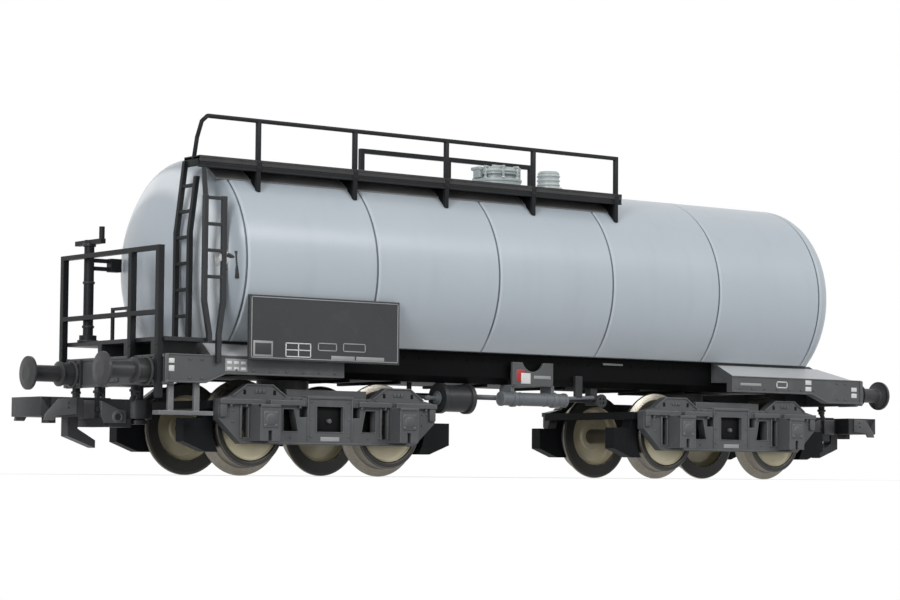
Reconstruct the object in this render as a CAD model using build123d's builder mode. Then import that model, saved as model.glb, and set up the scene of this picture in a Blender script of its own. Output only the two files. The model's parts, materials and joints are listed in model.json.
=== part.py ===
# Model railway tank car on two bogies, with a brakeman's platform at one end.
# It is a scale model, built at its own size: 79 mm over the buffers.
# X runs along the car, with the platform at -X. Y runs across, Z is up.
# Z = 0 is the surface that the wheel flanges stand on, and X = Y = 0 is the car's centre.

from math import atan2, cos, degrees, radians, sin, sqrt

from build123d import *
import os

os.makedirs("parts", exist_ok=True)

# Fits and small allowances
running_gap = 0.05  # radial play of an axle or pin that turns
seat_gap = 0.05  # between a formed piece and the curved shell it lies on
cut_over = 1.0  # how far a cutting tool runs past the face that it cuts

# The two ends: name and direction along X
ends = (("front", -1), ("rear", 1))
# The two sides: name and direction along Y
sides = (("near", -1), ("far", 1))

# Wheelsets
tread_radius = 2.95
flange_depth = 0.6
flange_width = 0.55
wheel_inner_y = 3.7
wheel_outer_y = 5.3
rim_inner_radius = 2.4
disc_inner_depth = 0.75
disc_outer_depth = 0.4
axle_radius = 0.6
journal_radius = 0.45
journal_end_y = 7.0
flange_radius = tread_radius + flange_depth
axle_z = flange_radius

# Tank: its barrel, its heads with a round knuckle, and the seams around it
tank_x = 0.2
tank_radius = 8.1
tank_axis_z = 15.5
barrel_half_x = 29.1
tank_head_depth = 3.9
tank_knuckle_radius = 1.6
seam_count = 6
seam_width = 0.3
seam_depth = 0.12
lip_z = 9.8
shell_radius = tank_radius + seat_gap
crown_z = tank_axis_z + tank_radius

# Underframe
beam_gap = 2.3
beam_x = barrel_half_x + tank_head_depth + beam_gap
beam_thickness = 0.8
beam_bottom_z = 6.45
beam_top_z = 8.6
sole_y_step = 0.8
sole_y = tank_radius - sole_y_step
sole_thickness = 0.7
sole_inner_y = sole_y - sole_thickness
sole_bottom_z = 7.3
sole_deep_z = 6.6
sole_top_z = 8.65
apron_top_y = 5.4
apron_top_z = 9.58
cradle_half_y = 5.05
frame_ceiling_z = 8.1
sill_half_y = 4.7
sill_bottom_z = 7.35
sill_edge_radius = 0.5

# Bogies
bogie_inset = 8.65
bogie_x = barrel_half_x - bogie_inset
wheelbase = 12.5
axle_offset = wheelbase / 2
axle_places = [-bogie_x - axle_offset, -bogie_x + axle_offset, bogie_x - axle_offset, bogie_x + axle_offset]
side_frame_inner_y = 5.65
side_frame_outer_y = 6.45
side_frame_half_length = 9.75
side_frame_foot_half_length = 7.8
side_frame_bottom_z = 2.32
side_frame_end_bottom_z = 4.1
side_frame_end_top_z = 5.55
side_frame_waist_z = 5.8
plate_half_length = 2.1
plate_top_z = 5.95
arch_top_z = 6.65
arch_base_length = 4.7
arch_crest_length = 2.2
window_half_length = 1.22
window_bottom_z = 3.27
window_top_z = 5.2
slot_start_x = 1.95
slot_end_x = 2.75
slot_bottom_z = 4.35
slot_top_z = 5.15
strut_hole_start_x = 2.85
strut_hole_end_x = 4.2
strut_hole_lean = 0.35
strut_hole_bottom_z = 3.28
strut_hole_top_z = 4.95
axle_bay_length = 3.1
axle_bay_bottom_z = 2.8
axle_bay_top_z = 5.0
axlebox_length = 1.7
axlebox_bottom_z = 2.55
axlebox_top_z = 5.2
axlebox_outer_y = 7.95
guide_slot_length = 0.36
guide_slot_depth = 0.4
guide_slot_top_z = 3.3
chord_bottom_z = 5.2
chord_depth = 0.3
chord_start_x = 2.5
chord_gap_start_x = 5.45
chord_gap_end_x = 5.95
bolster_half_length = 3.6
bolster_top_z = 6.4
bolster_thickness = 0.35
crossbeam_start_x = 1.45
crossbeam_end_x = 2.25
crossbeam_bottom_z = 3.4
crossbeam_top_z = 5.6
centre_block_half_y = 2.6
pivot_pad_radius = 2.0
pivot_pad_gap = 0.1
pin_radius = 0.9
pin_head_radius = 1.35
pin_head_height = 0.4
pin_head_gap = 0.1
shoe_gap = 0.4
shoe_thickness = 0.7
shoe_width = 1.1
shoe_low_angle = -33
shoe_high_angle = 28
shoe_beam_size = 0.6
# The pad behind a shoe, told from the axle: its reach, and the edge that slants to the shoe's tip
shoe_pad_reach = 5.75
shoe_pad_slant_reach = 3.85
shoe_pad_slant_z = 2.45
shoe_pad_top_z = 4.15

# Where the sill and the end frames begin and end, told from the bogies and the beams
sill_half_x_step = 6.55
sill_half_x = bogie_x + sill_half_x_step
end_frame_start_x_step = 0.65
end_frame_start_x = bogie_x - end_frame_start_x_step

# Domes, told from the tank's crown
manhole_x_step = 0.1
manhole_x = tank_x + manhole_x_step
manhole_collar_radius = 1.95
manhole_neck_radius = 1.6
manhole_lid_radius = 1.85
manhole_lid_edge = 0.2
manhole_collar_top_z_rise = 0.5
manhole_collar_top_z = crown_z + manhole_collar_top_z_rise
manhole_lid_bottom_z_rise = 1.0
manhole_lid_bottom_z = crown_z + manhole_lid_bottom_z_rise
manhole_top_z_rise = 1.6
manhole_top_z = crown_z + manhole_top_z_rise
vent_x_step = 5.55
vent_x = tank_x + vent_x_step
vent_radius = 0.9
vent_flange_radius = 1.15
vent_flange_top_z_rise = 0.4
vent_flange_top_z = crown_z + vent_flange_top_z_rise
vent_shoulder_z_rise = 1.4
vent_shoulder_z = crown_z + vent_shoulder_z_rise
vent_top_z_rise = 1.8
vent_top_z = crown_z + vent_top_z_rise
vent_crown_rise = vent_top_z - vent_shoulder_z
vent_crown_radius = (vent_radius**2 + vent_crown_rise**2) / (2 * vent_crown_rise)

# Walkway on the near side of the tank's top
walk_left_x_step = 3.36
walk_left_x = -beam_x + walk_left_x_step
walk_right_x = 8.45
walk_outer_y = 6.2
walk_inner_y = 4.0
walk_drop = 0.44
walk_thickness = 0.3
fascia_height = 1.56
fascia_thickness = 0.35
fascia_groove_top = 0.66
fascia_groove_height = 0.4
fascia_groove_depth = 0.15
walk_top_z = crown_z - walk_drop
walk_bottom_z = walk_top_z - walk_thickness
fascia_bottom_z = walk_top_z - fascia_height
post_count = 5
post_first_x = -26.84
post_spacing = 8.68
post_xs = [post_first_x + post_spacing * index for index in range(post_count)]
gusset_thickness = 0.37
bar_width = 0.37
rail_height = 2.89
rail_overhang = 0.25
rail_top_z = walk_top_z + rail_height + bar_width / 2
rail_bend_radius = 1.3
rail_y = -walk_outer_y + bar_width / 2

# Ledge and railing on the far side, beside the manhole
ledge_left_x = -10.9
ledge_right_x = 7.2
ledge_inner_y = 3.65
ledge_outer_y = 4.6
far_rail_height = 3.15
far_post_first_x = -10.56
far_post_count = 3
far_post_spacing = 8.74
far_rail_y = ledge_inner_y + bar_width / 2

# Platform over the front buffer beam
platform_inner_x_step = 3.6
platform_inner_x = beam_x - platform_inner_x_step
platform_top_z = 9.85
platform_thickness = 0.3
bearer_width = 0.5
bearer_first_y = -5.6
bearer_spacing = 3.8
bearer_count = 3
platform_post_width = 0.46
# Posts of the platform's railing: place along Y, height of the foot
platform_posts = (
    (-6.85, 5.5),
    (-3.0, 8.4),
    (7.07, 8.2),
)
platform_bar_height = 0.34
platform_top_rail_z = 16.2
platform_mid_rail_z = 11.6
loop_x_step = 1.4
loop_x = beam_x - loop_x_step
loop_start_y = 0.1
loop_end_y = 2.7
loop_height = 2.4
loop_leg = 0.7
loop_width = 0.22

# Brake column on the platform, its crank, and its bracket on the tank's head
column_x_step = 0.55
column_x = beam_x - column_x_step
column_y = 4.76
column_radius = 0.38
column_foot_radius = 0.65
column_foot_height = 0.5
column_top_z = 17.5
crank_width = 0.42
crank_thickness = 0.36
crank_near_y = 2.7
crank_far_y = 6.6
crank_grip_height = 0.9
bracket_z = 15.7
bracket_bar_width = 0.3
bracket_bar_spacing = 0.6
bracket_plate_height = 1.0
bracket_plate_width = 0.7
bracket_plate_thickness = 0.9

# Ladders
stile_width = 0.34
rung_width = 0.24
rung_spacing = 1.9
end_ladder_head_gap = 0.14
end_ladder_bend_z = 17.56
end_ladder_lean = 0.126  # how far a stile moves along X for each millimetre that it rises
end_ladder_near_y = -6.0
end_ladder_far_y = -4.15
end_ladder_rungs = 6
end_ladder_first_rung_z = 11.47
side_ladder_left_x_step = 3.1
side_ladder_left_x = -beam_x + side_ladder_left_x_step
side_ladder_right_x_step = 4.68
side_ladder_right_x = -beam_x + side_ladder_right_x_step
side_ladder_bend_z = 12.5
side_ladder_foot_rise = 2.4
side_ladder_left_foot_x_step = 3.55
side_ladder_left_foot_x = -beam_x + side_ladder_left_foot_x_step
side_ladder_right_foot_x_step = 4.35
side_ladder_right_foot_x = -beam_x + side_ladder_right_foot_x_step
side_ladder_foot_z = 8.07
side_ladder_rungs = 4
side_ladder_top_rung_z = 19.95
side_ladder_top_x_step = 3.7
side_ladder_top_x = -beam_x + side_ladder_top_x_step
side_ladder_top_z = 22.2
side_ladder_y = -sole_y - stile_width / 2

# Number boards, blank
board_left_x = -28.75
board_right_x = -15.4
board_bottom_z = 8.4
board_top_z = 13.1
board_gap = 0.1
board_thickness = 0.3
board_bracket_length = 1.2
board_bracket_height = 0.17

# Buffers
buffer_y = 5.47
buffer_z = 7.45
buffer_length = 4.2
buffer_head_radius = 1.25
buffer_head_thickness = 0.32
buffer_crown = 0.12
buffer_shaft_radius = 0.62
buffer_sleeve_radius = 0.85
buffer_sleeve_length = 1.5
buffer_base_size = 2.1
buffer_base_thickness = 0.25

# Foot steps at the platform end
step_left_x_step = 0.38
step_left_x = beam_x + step_left_x_step
step_right_x_step = 4.1
step_right_x = beam_x - step_right_x_step
step_z = 4.6
step_inset = 0.25
step_inner_y = sole_inner_y - step_inset
step_outer_y = sole_y
step_thickness = 0.3
hanger_inner_x_step = 2.98
hanger_inner_x = beam_x - hanger_inner_x_step
hanger_outer_x_step = 0.82
hanger_outer_x = beam_x - hanger_outer_x_step
hanger_width = 0.4
hanger_thickness = 0.3

# Gear hung under the middle
reservoir_left_x_step = 17.25
reservoir_left_x = -bogie_x + reservoir_left_x_step
reservoir_right_x_step = 16.95
reservoir_right_x = bogie_x - reservoir_right_x_step
reservoir_radius = 0.53
reservoir_z = 6.22
reservoir_y = -5.0
reservoir_end_edge = 0.2
reservoir_band_inset = 1.3
reservoir_band_width = 0.3
reservoir_band_height = 0.1
reservoir_strap_length = 1.4
panel_left_x = -2.13
panel_right_x = 1.99
panel_bottom_z = 7.27
panel_top_z = 9.14
panel_y = 5.05
panel_thickness = 0.25
panel_notch_radius = 1.16
panel_notch_rise = 0.43
panel_stub_size = 0.5
cylinder_left_x_step = 11.85
cylinder_left_x = -bogie_x + cylinder_left_x_step
cylinder_right_x_step = 14.85
cylinder_right_x = -bogie_x + cylinder_right_x_step
cylinder_radius = 1.05
cylinder_y = -4.0
cylinder_cap_radius = 1.2
cylinder_cap_length = 0.35
rod_radius = 0.2
rod_z = 6.4
rod_y = -1.6
rod_left_x_step = 10.45
rod_left_x = -bogie_x + rod_left_x_step
rod_right_x_step = 10.85
rod_right_x = bogie_x - rod_right_x_step
rod_hanger_inset = 0.4
lever_x_step = 15.52
lever_x = bogie_x - lever_x_step
lever_bottom_z = 6.47
lever_top_z = 8.23
lever_width = 0.7
lever_thickness = 0.3
handwheel_x_step = 13.05
handwheel_x = bogie_x - handwheel_x_step
handwheel_z = 6.28
handwheel_radius = 0.55
handwheel_ring = 0.12
handwheel_y = 4.9
handwheel_stem_radius = 0.15
handwheel_stem_length = 0.9
handwheel_block = 0.7

# Couplers: a claw head on a shank that swings under the end frame
coupler_tip_x_step = 7.05
coupler_tip_x = beam_x + coupler_tip_x_step
coupler_head_length = 3.45
coupler_half_y = 2.2
coupler_bottom_z = 4.1
coupler_top_z = 5.5
coupler_slope = 1.1
claw_bar_width = 0.9
claw_arm_width = 0.75
shank_half_y = 0.6
coupler_pivot_x_step = 2.1
coupler_pivot_x = beam_x - coupler_pivot_x_step
coupler_eye_radius = 1.1
coupler_pin_radius = 0.45
coupler_pin_head_radius = 0.8
coupler_pin_head_height = 0.3
coupler_gap = 0.1
pocket_length = 2.6
pocket_half_y = 1.3
tail_x_step = 3.1
tail_x = beam_x + tail_x_step
tail_width = 0.8
tail_half_y = 0.5
tail_bottom_z = 2.75
tail_foot_run = 1.45
tail_foot_z = 1.93
tail_foot_height = 0.55
# Blocks under the shank, told outward from the beam: start, end, half width, bottom
shank_blocks = (
    (-1.15, 0.7, 0.8, 3.46),
    (1.2, 2.55, 0.85, 3.43),
    (4.9, 5.5, 0.5, 3.67),
)


def facing_side(x, y):
    """A plane that faces -Y at this place, with its local x along X and its local y up."""
    return Plane(origin=(x, y, 0), x_dir=(1, 0, 0), z_dir=(0, -1, 0))


def facing_end(x):
    """A plane that faces +X at this place, with its local x along Y and its local y up."""
    return Plane(origin=(x, 0, 0), x_dir=(0, 1, 0), z_dir=(1, 0, 0))


def lying(x, y, z):
    """A level plane at this place."""
    return Plane(origin=(x, y, z))


def add_bar(start, end, radius):
    """Add a round bar from start to end to the part that is being made."""
    span = Vector(*end) - Vector(*start)
    with BuildSketch(Plane(origin=start, z_dir=span)) as section:
        Circle(radius)
    extrude(section.sketch, amount=span.length)


def add_strut(start, end, width):
    """Add a square bar that climbs from start to end to the part that is being made."""
    span = Vector(*end) - Vector(*start)
    level = Vector(0, 0, 1).cross(span) if span.X or span.Y else Vector(0, 1, 0)
    with BuildSketch(Plane(origin=start, x_dir=level, z_dir=span)) as section:
        Rectangle(width, width)
    extrude(section.sketch, amount=span.length)


def add_block(corner, opposite, mode=Mode.ADD):
    """Add a square block between two opposite corners to the part that is being made, or cut it."""
    size = Vector(*opposite) - Vector(*corner)
    with Locations((Vector(*corner) + Vector(*opposite)) / 2):
        Box(abs(size.X), abs(size.Y), abs(size.Z), mode=mode)


def add_cross_bar(x, start_y, end_y, z, width, height):
    """Add a level bar across the car, centred on this x and z."""
    add_block((x - width / 2, start_y, z - height / 2), (x + width / 2, end_y, z + height / 2))


def tank_y(z):
    """How far from the centre plane the tank's shell is, with the seat gap, at this height."""
    return sqrt(shell_radius**2 - (z - tank_axis_z) ** 2)


def tank_z(y):
    """How high the tank's shell is, with the seat gap, this far from the centre plane."""
    return tank_axis_z + sqrt(shell_radius**2 - y**2)


# Tank: a barrel with seam grooves and two dished heads, cut flat where it sits on the frame.
# A head is an arc of the dish radius whose knuckle rounds it into the barrel.
knuckle_y = tank_radius - tank_knuckle_radius
dish_span = tank_head_depth**2 - tank_knuckle_radius**2 + knuckle_y**2
dish_radius = dish_span / (2 * (tank_head_depth - tank_knuckle_radius))
dish_angle = degrees(atan2(knuckle_y, dish_radius - tank_head_depth))
seam_pitch = 2 * barrel_half_x / (seam_count - 1)
seam_xs = [-barrel_half_x + seam_pitch * index for index in range(seam_count)]

with BuildPart() as tank:
    with BuildSketch(facing_side(tank_x, 0)):
        with BuildLine():
            for toward in (-1, 1):
                head_x = toward * (barrel_half_x + seam_width / 2)
                dish_x = head_x + toward * (tank_head_depth - dish_radius)
                knuckle_start = 90 if toward < 0 else dish_angle
                dish_start = 180 - dish_angle if toward < 0 else 0
                CenterArc((head_x, tank_axis_z + knuckle_y), tank_knuckle_radius, knuckle_start, 90 - dish_angle)
                CenterArc((dish_x, tank_axis_z), dish_radius, dish_start, dish_angle)
            seam_points = []
            for seam_x in seam_xs:
                seam_points += [
                    (seam_x - seam_width / 2, crown_z),
                    (seam_x, crown_z - seam_depth),
                    (seam_x + seam_width / 2, crown_z),
                ]
            Polyline(*seam_points)
            Line(
                (barrel_half_x + seam_width / 2 + tank_head_depth, tank_axis_z),
                (-barrel_half_x - seam_width / 2 - tank_head_depth, tank_axis_z),
            )
        make_face()
    revolve(axis=Axis((0, 0, tank_axis_z), (1, 0, 0)))
    with BuildSketch(lying(tank_x, 0, lip_z)):
        Rectangle(2 * (barrel_half_x + tank_head_depth + cut_over), 2 * tank_radius)
    extrude(amount=-tank_radius, mode=Mode.SUBTRACT)
tank.part.label = "tank"
export_step(tank.part, "parts/tank.step")


# Domes on the tank's top: a manhole with a clamped lid, and a vent
with BuildPart() as manhole_dome:
    with BuildSketch(facing_side(manhole_x, 0)):
        with BuildLine():
            Polyline(
                (0, tank_axis_z),
                (manhole_collar_radius, tank_axis_z),
                (manhole_collar_radius, manhole_collar_top_z),
                (manhole_neck_radius, manhole_collar_top_z),
                (manhole_neck_radius, manhole_lid_bottom_z),
                (manhole_lid_radius, manhole_lid_bottom_z),
                (manhole_lid_radius, manhole_top_z - manhole_lid_edge),
                (manhole_lid_radius - manhole_lid_edge, manhole_top_z),
                (0, manhole_top_z),
                close=True,
            )
        make_face()
    revolve(axis=Axis((manhole_x, 0, 0), (0, 0, 1)))
    with BuildSketch(facing_end(manhole_x - manhole_collar_radius - cut_over)):
        with Locations((0, tank_axis_z)):
            Circle(shell_radius)
    extrude(amount=2 * (manhole_collar_radius + cut_over), mode=Mode.SUBTRACT)
manhole_dome.part.label = "manhole_dome"
export_step(manhole_dome.part, "parts/manhole_dome.step")

with BuildPart() as vent_dome:
    with BuildSketch(facing_side(vent_x, 0)):
        with BuildLine():
            Polyline(
                (0, tank_axis_z),
                (vent_flange_radius, tank_axis_z),
                (vent_flange_radius, vent_flange_top_z),
                (vent_radius, vent_flange_top_z),
                (vent_radius, vent_shoulder_z),
            )
            RadiusArc((vent_radius, vent_shoulder_z), (0, vent_top_z), -vent_crown_radius)
            Line((0, vent_top_z), (0, tank_axis_z))
        make_face()
    revolve(axis=Axis((vent_x, 0, 0), (0, 0, 1)))
    with BuildSketch(facing_end(vent_x - vent_flange_radius - cut_over)):
        with Locations((0, tank_axis_z)):
            Circle(shell_radius)
    extrude(amount=2 * (vent_flange_radius + cut_over), mode=Mode.SUBTRACT)
vent_dome.part.label = "vent_dome"
export_step(vent_dome.part, "parts/vent_dome.step")


# Centre sill: the trough that carries the tank and the bogie pins
with BuildPart() as centre_sill:
    with BuildSketch(facing_end(-sill_half_x)):
        with BuildLine():
            Polyline(
                (-sill_half_y, lip_z),
                (-sill_half_y, sill_bottom_z + sill_edge_radius),
                (-sill_half_y + sill_edge_radius, sill_bottom_z),
                (sill_half_y - sill_edge_radius, sill_bottom_z),
                (sill_half_y, sill_bottom_z + sill_edge_radius),
                (sill_half_y, lip_z),
                close=True,
            )
        make_face()
    extrude(amount=2 * sill_half_x)
centre_sill.part.label = "centre_sill"
export_step(centre_sill.part, "parts/centre_sill.step")


# End frames: sole bars with sloped aprons, closed by a buffer beam.
# From the beam inwards: where the top has come down to it and where it starts to fall,
# then where the sole bars are deep and where they are shallow again.
frame_shapes = (
    (3.8, 4.4, 3.4, 5.1),
    (1.2, 4.24, 4.3, 6.2),
)
for (end, toward), (slope_end, slope_start, taper_end, taper_start) in zip(ends, frame_shapes):
    with BuildPart() as end_frame:
        with BuildSketch(facing_end(toward * end_frame_start_x)):
            with BuildLine():
                Polyline(
                    (0, frame_ceiling_z),
                    (sole_inner_y, frame_ceiling_z),
                    (sole_inner_y, sole_deep_z),
                    (sole_y, sole_deep_z),
                    (sole_y, sole_top_z),
                    (apron_top_y, apron_top_z),
                    (cradle_half_y, apron_top_z),
                    (cradle_half_y, lip_z),
                    (0, lip_z),
                    close=True,
                )
            make_face()
            mirror(about=Plane.YZ)
        extrude(amount=toward * (beam_x - end_frame_start_x))
        add_block(
            (toward * beam_x, -sole_y, beam_bottom_z),
            (toward * (beam_x - beam_thickness), sole_y, beam_top_z),
        )
        with BuildSketch(facing_side(0, sole_y + cut_over)):
            with BuildLine():
                Polyline(
                    (toward * (end_frame_start_x - cut_over), sole_bottom_z),
                    (toward * (beam_x - taper_start), sole_bottom_z),
                    (toward * (beam_x - taper_end), sole_deep_z),
                    (toward * (beam_x - taper_end), beam_bottom_z - cut_over),
                    (toward * (end_frame_start_x - cut_over), beam_bottom_z - cut_over),
                    close=True,
                )
            make_face()
            with BuildLine():
                Polyline(
                    (toward * (beam_x - slope_start), lip_z),
                    (toward * (beam_x - slope_end), beam_top_z),
                    (toward * (beam_x + cut_over), beam_top_z),
                    (toward * (beam_x + cut_over), lip_z + cut_over),
                    (toward * (beam_x - slope_start), lip_z + cut_over),
                    close=True,
                )
            make_face()
        extrude(amount=2 * (sole_y + cut_over), mode=Mode.SUBTRACT)
        add_block(
            (toward * (end_frame_start_x - cut_over), -sill_half_y, sole_deep_z),
            (toward * sill_half_x, sill_half_y, lip_z + cut_over),
            Mode.SUBTRACT,
        )
    end_frame.part.label = f"end_frame_{end}"
    export_step(end_frame.part, f"parts/end_frame_{end}.step")


# Walkway along the tank's top on the near side: a deck with a grooved fascia,
# on gussets that follow the shell
with BuildPart() as walkway:
    add_block((walk_left_x, -walk_outer_y, walk_bottom_z), (walk_right_x, -walk_inner_y, walk_top_z))
    add_block(
        (walk_left_x, -walk_outer_y, fascia_bottom_z),
        (walk_right_x, -walk_outer_y + fascia_thickness, walk_top_z),
    )
    add_block(
        (walk_left_x, -walk_outer_y, walk_top_z - fascia_groove_top),
        (
            walk_right_x,
            -walk_outer_y + fascia_groove_depth,
            walk_top_z - fascia_groove_top - fascia_groove_height,
        ),
        Mode.SUBTRACT,
    )
    for post_x in post_xs:
        with BuildSketch(facing_end(post_x - gusset_thickness / 2)):
            with BuildLine():
                Polyline(
                    (-walk_outer_y, tank_z(walk_outer_y)),
                    (-walk_outer_y, walk_bottom_z + walk_thickness / 2),
                    (-walk_inner_y, walk_bottom_z + walk_thickness / 2),
                    (-walk_inner_y, tank_z(walk_inner_y)),
                )
                RadiusArc(
                    (-walk_inner_y, tank_z(walk_inner_y)),
                    (-walk_outer_y, tank_z(walk_outer_y)),
                    -shell_radius,
                )
            make_face()
        extrude(amount=gusset_thickness)
walkway.part.label = "walkway"
export_step(walkway.part, "parts/walkway.step")

# Railing of the walkway: a top bar bent down at the ladder's end, and posts
with BuildPart() as walkway_railing:
    with BuildSketch(facing_side(0, rail_y + bar_width / 2)):
        with BuildLine():
            rail_left_x = walk_left_x - rail_overhang
            bend_x = rail_left_x + bar_width + rail_bend_radius
            bend_z = rail_top_z - bar_width - rail_bend_radius
            Line((rail_left_x, walk_top_z), (rail_left_x, bend_z))
            CenterArc((bend_x, bend_z), rail_bend_radius + bar_width, 90, 90)
            Polyline(
                (bend_x, rail_top_z),
                (post_xs[-1] + bar_width / 2, rail_top_z),
                (post_xs[-1] + bar_width / 2, rail_top_z - bar_width),
                (bend_x, rail_top_z - bar_width),
            )
            CenterArc((bend_x, bend_z), rail_bend_radius, 90, 90)
            Polyline(
                (rail_left_x + bar_width, bend_z),
                (rail_left_x + bar_width, walk_top_z),
                (rail_left_x, walk_top_z),
            )
        make_face()
    extrude(amount=bar_width)
    for post_x in post_xs:
        add_block(
            (post_x - bar_width / 2, rail_y - bar_width / 2, walk_top_z),
            (post_x + bar_width / 2, rail_y + bar_width / 2, rail_top_z),
        )
walkway_railing.part.label = "walkway_railing"
export_step(walkway_railing.part, "parts/walkway_railing.step")


# Ledge and railing on the far side of the manhole
far_post_xs = [far_post_first_x + far_post_spacing * index for index in range(far_post_count)]
with BuildPart() as far_ledge:
    add_block((ledge_left_x, ledge_inner_y, walk_bottom_z), (ledge_right_x, ledge_outer_y, walk_top_z))
    for post_x in far_post_xs:
        with BuildSketch(facing_end(post_x - gusset_thickness / 2)):
            with BuildLine():
                Polyline(
                    (ledge_inner_y, tank_z(ledge_inner_y)),
                    (ledge_inner_y, walk_bottom_z + walk_thickness / 2),
                    (ledge_outer_y, walk_bottom_z + walk_thickness / 2),
                    (ledge_outer_y, tank_z(ledge_outer_y)),
                )
                RadiusArc(
                    (ledge_outer_y, tank_z(ledge_outer_y)),
                    (ledge_inner_y, tank_z(ledge_inner_y)),
                    -shell_radius,
                )
            make_face()
        extrude(amount=gusset_thickness)
far_ledge.part.label = "far_ledge"
export_step(far_ledge.part, "parts/far_ledge.step")

with BuildPart() as far_railing:
    far_rail_top_z = walk_top_z + far_rail_height
    add_block(
        (far_post_xs[0] - bar_width / 2, far_rail_y - bar_width / 2, far_rail_top_z - bar_width),
        (far_post_xs[-1] + bar_width / 2, far_rail_y + bar_width / 2, far_rail_top_z),
    )
    for post_x in far_post_xs:
        add_block(
            (post_x - bar_width / 2, far_rail_y - bar_width / 2, walk_top_z),
            (post_x + bar_width / 2, far_rail_y + bar_width / 2, far_rail_top_z),
        )
far_railing.part.label = "far_railing"
export_step(far_railing.part, "parts/far_railing.step")


# Platform over the front buffer beam, with a wire loop that stands on it
with BuildPart() as platform_deck:
    deck_bottom_z = platform_top_z - platform_thickness
    add_block((-beam_x, -sole_y, deck_bottom_z), (-platform_inner_x, sole_y, platform_top_z))
    for index in range(bearer_count):
        bearer_y = bearer_first_y + bearer_spacing * index
        add_block(
            (-beam_x, bearer_y - bearer_width / 2, beam_top_z),
            (-platform_inner_x, bearer_y + bearer_width / 2, deck_bottom_z),
        )
    loop_top_z = platform_top_z + loop_height
    add_cross_bar(-loop_x, loop_start_y, loop_end_y, loop_top_z, loop_width, loop_width)
    # The loop's long leg stands on the deck, and its short one hangs free
    for leg_y, leg_bottom_z in (
        (loop_end_y - loop_width, platform_top_z),
        (loop_start_y, loop_top_z - loop_leg),
    ):
        add_block(
            (-loop_x - loop_width / 2, leg_y, leg_bottom_z),
            (-loop_x + loop_width / 2, leg_y + loop_width, loop_top_z),
        )
platform_deck.part.label = "platform_deck"
export_step(platform_deck.part, "parts/platform_deck.step")

with BuildPart() as platform_railing:
    rail_x = -beam_x - platform_post_width / 2
    rail_far_y = platform_posts[-1][0] + platform_post_width / 2
    for post_y, foot_z in platform_posts:
        add_block(
            (-beam_x, post_y - platform_post_width / 2, foot_z),
            (-beam_x - platform_post_width, post_y + platform_post_width / 2, platform_top_rail_z),
        )
    for rail_z in (platform_mid_rail_z, platform_top_rail_z):
        add_cross_bar(
            rail_x,
            platform_posts[0][0] - platform_post_width / 2,
            rail_far_y,
            rail_z,
            platform_post_width,
            platform_bar_height,
        )
platform_railing.part.label = "platform_railing"
export_step(platform_railing.part, "parts/platform_railing.step")

# Brake column: the crank is on top, and a bracket holds the column to the tank's head
with BuildPart() as brake_column:
    add_bar((-column_x, column_y, platform_top_z), (-column_x, column_y, column_top_z), column_radius)
    add_bar(
        (-column_x, column_y, platform_top_z),
        (-column_x, column_y, platform_top_z + column_foot_height),
        column_foot_radius,
    )
    add_cross_bar(
        -column_x, crank_near_y, crank_far_y, column_top_z - crank_thickness / 2, crank_width, crank_thickness
    )
    add_bar(
        (-column_x, crank_near_y + crank_width / 2, column_top_z),
        (-column_x, crank_near_y + crank_width / 2, column_top_z + crank_grip_height),
        crank_width / 2,
    )
    # The bracket's plate lies against the head, whose nearest point is at this reach from the axis
    plate_reach = column_y - bracket_plate_width / 2
    dish_front_x = tank_x - barrel_half_x - seam_width / 2 - tank_head_depth
    plate_x = dish_front_x + dish_radius - sqrt(dish_radius**2 - plate_reach**2) - seat_gap
    add_block(
        (plate_x, column_y - bracket_plate_width / 2, bracket_z - bracket_plate_height / 2),
        (
            plate_x - bracket_plate_thickness,
            column_y + bracket_plate_width / 2,
            bracket_z + bracket_plate_height / 2,
        ),
    )
    for bar_z in (bracket_z - bracket_bar_spacing / 2, bracket_z + bracket_bar_spacing / 2):
        add_block(
            (-column_x, column_y - bracket_bar_width / 2, bar_z - bracket_bar_width / 2),
            (
                plate_x - bracket_plate_thickness,
                column_y + bracket_bar_width / 2,
                bar_z + bracket_bar_width / 2,
            ),
        )
brake_column.part.label = "brake_column"
export_step(brake_column.part, "parts/brake_column.step")


# Ladder from the platform up to the walkway, whose stiles lean in above a bend. It stands
# clear of the head, which comes nearest to the far stile's inner edge.
ladder_reach = -end_ladder_far_y - stile_width / 2
head_there_x = dish_front_x + dish_radius - sqrt(dish_radius**2 - ladder_reach**2)
end_ladder_x = -head_there_x + stile_width / 2 + end_ladder_head_gap
with BuildPart() as end_ladder:
    # Each stile ends under what it carries: the fascia for the near one, the deck for the far one
    for stile_y, stile_top_z in ((end_ladder_near_y, fascia_bottom_z), (end_ladder_far_y, walk_bottom_z)):
        with BuildSketch(facing_side(-end_ladder_x, stile_y + stile_width / 2)):
            with BuildLine():
                lean = end_ladder_lean * (stile_top_z - end_ladder_bend_z)
                Polyline(
                    (-stile_width / 2, platform_top_z),
                    (-stile_width / 2, end_ladder_bend_z),
                    (lean - stile_width / 2, stile_top_z),
                    (lean + stile_width / 2, stile_top_z),
                    (stile_width / 2, end_ladder_bend_z),
                    (stile_width / 2, platform_top_z),
                    close=True,
                )
            make_face()
        extrude(amount=stile_width)
    for index in range(end_ladder_rungs):
        rung_z = end_ladder_first_rung_z + rung_spacing * index
        rung_x = -end_ladder_x + end_ladder_lean * max(0, rung_z - end_ladder_bend_z)
        add_cross_bar(rung_x, end_ladder_near_y, end_ladder_far_y, rung_z, rung_width, rung_width)
end_ladder.part.label = "end_ladder"
export_step(end_ladder.part, "parts/end_ladder.step")

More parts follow.
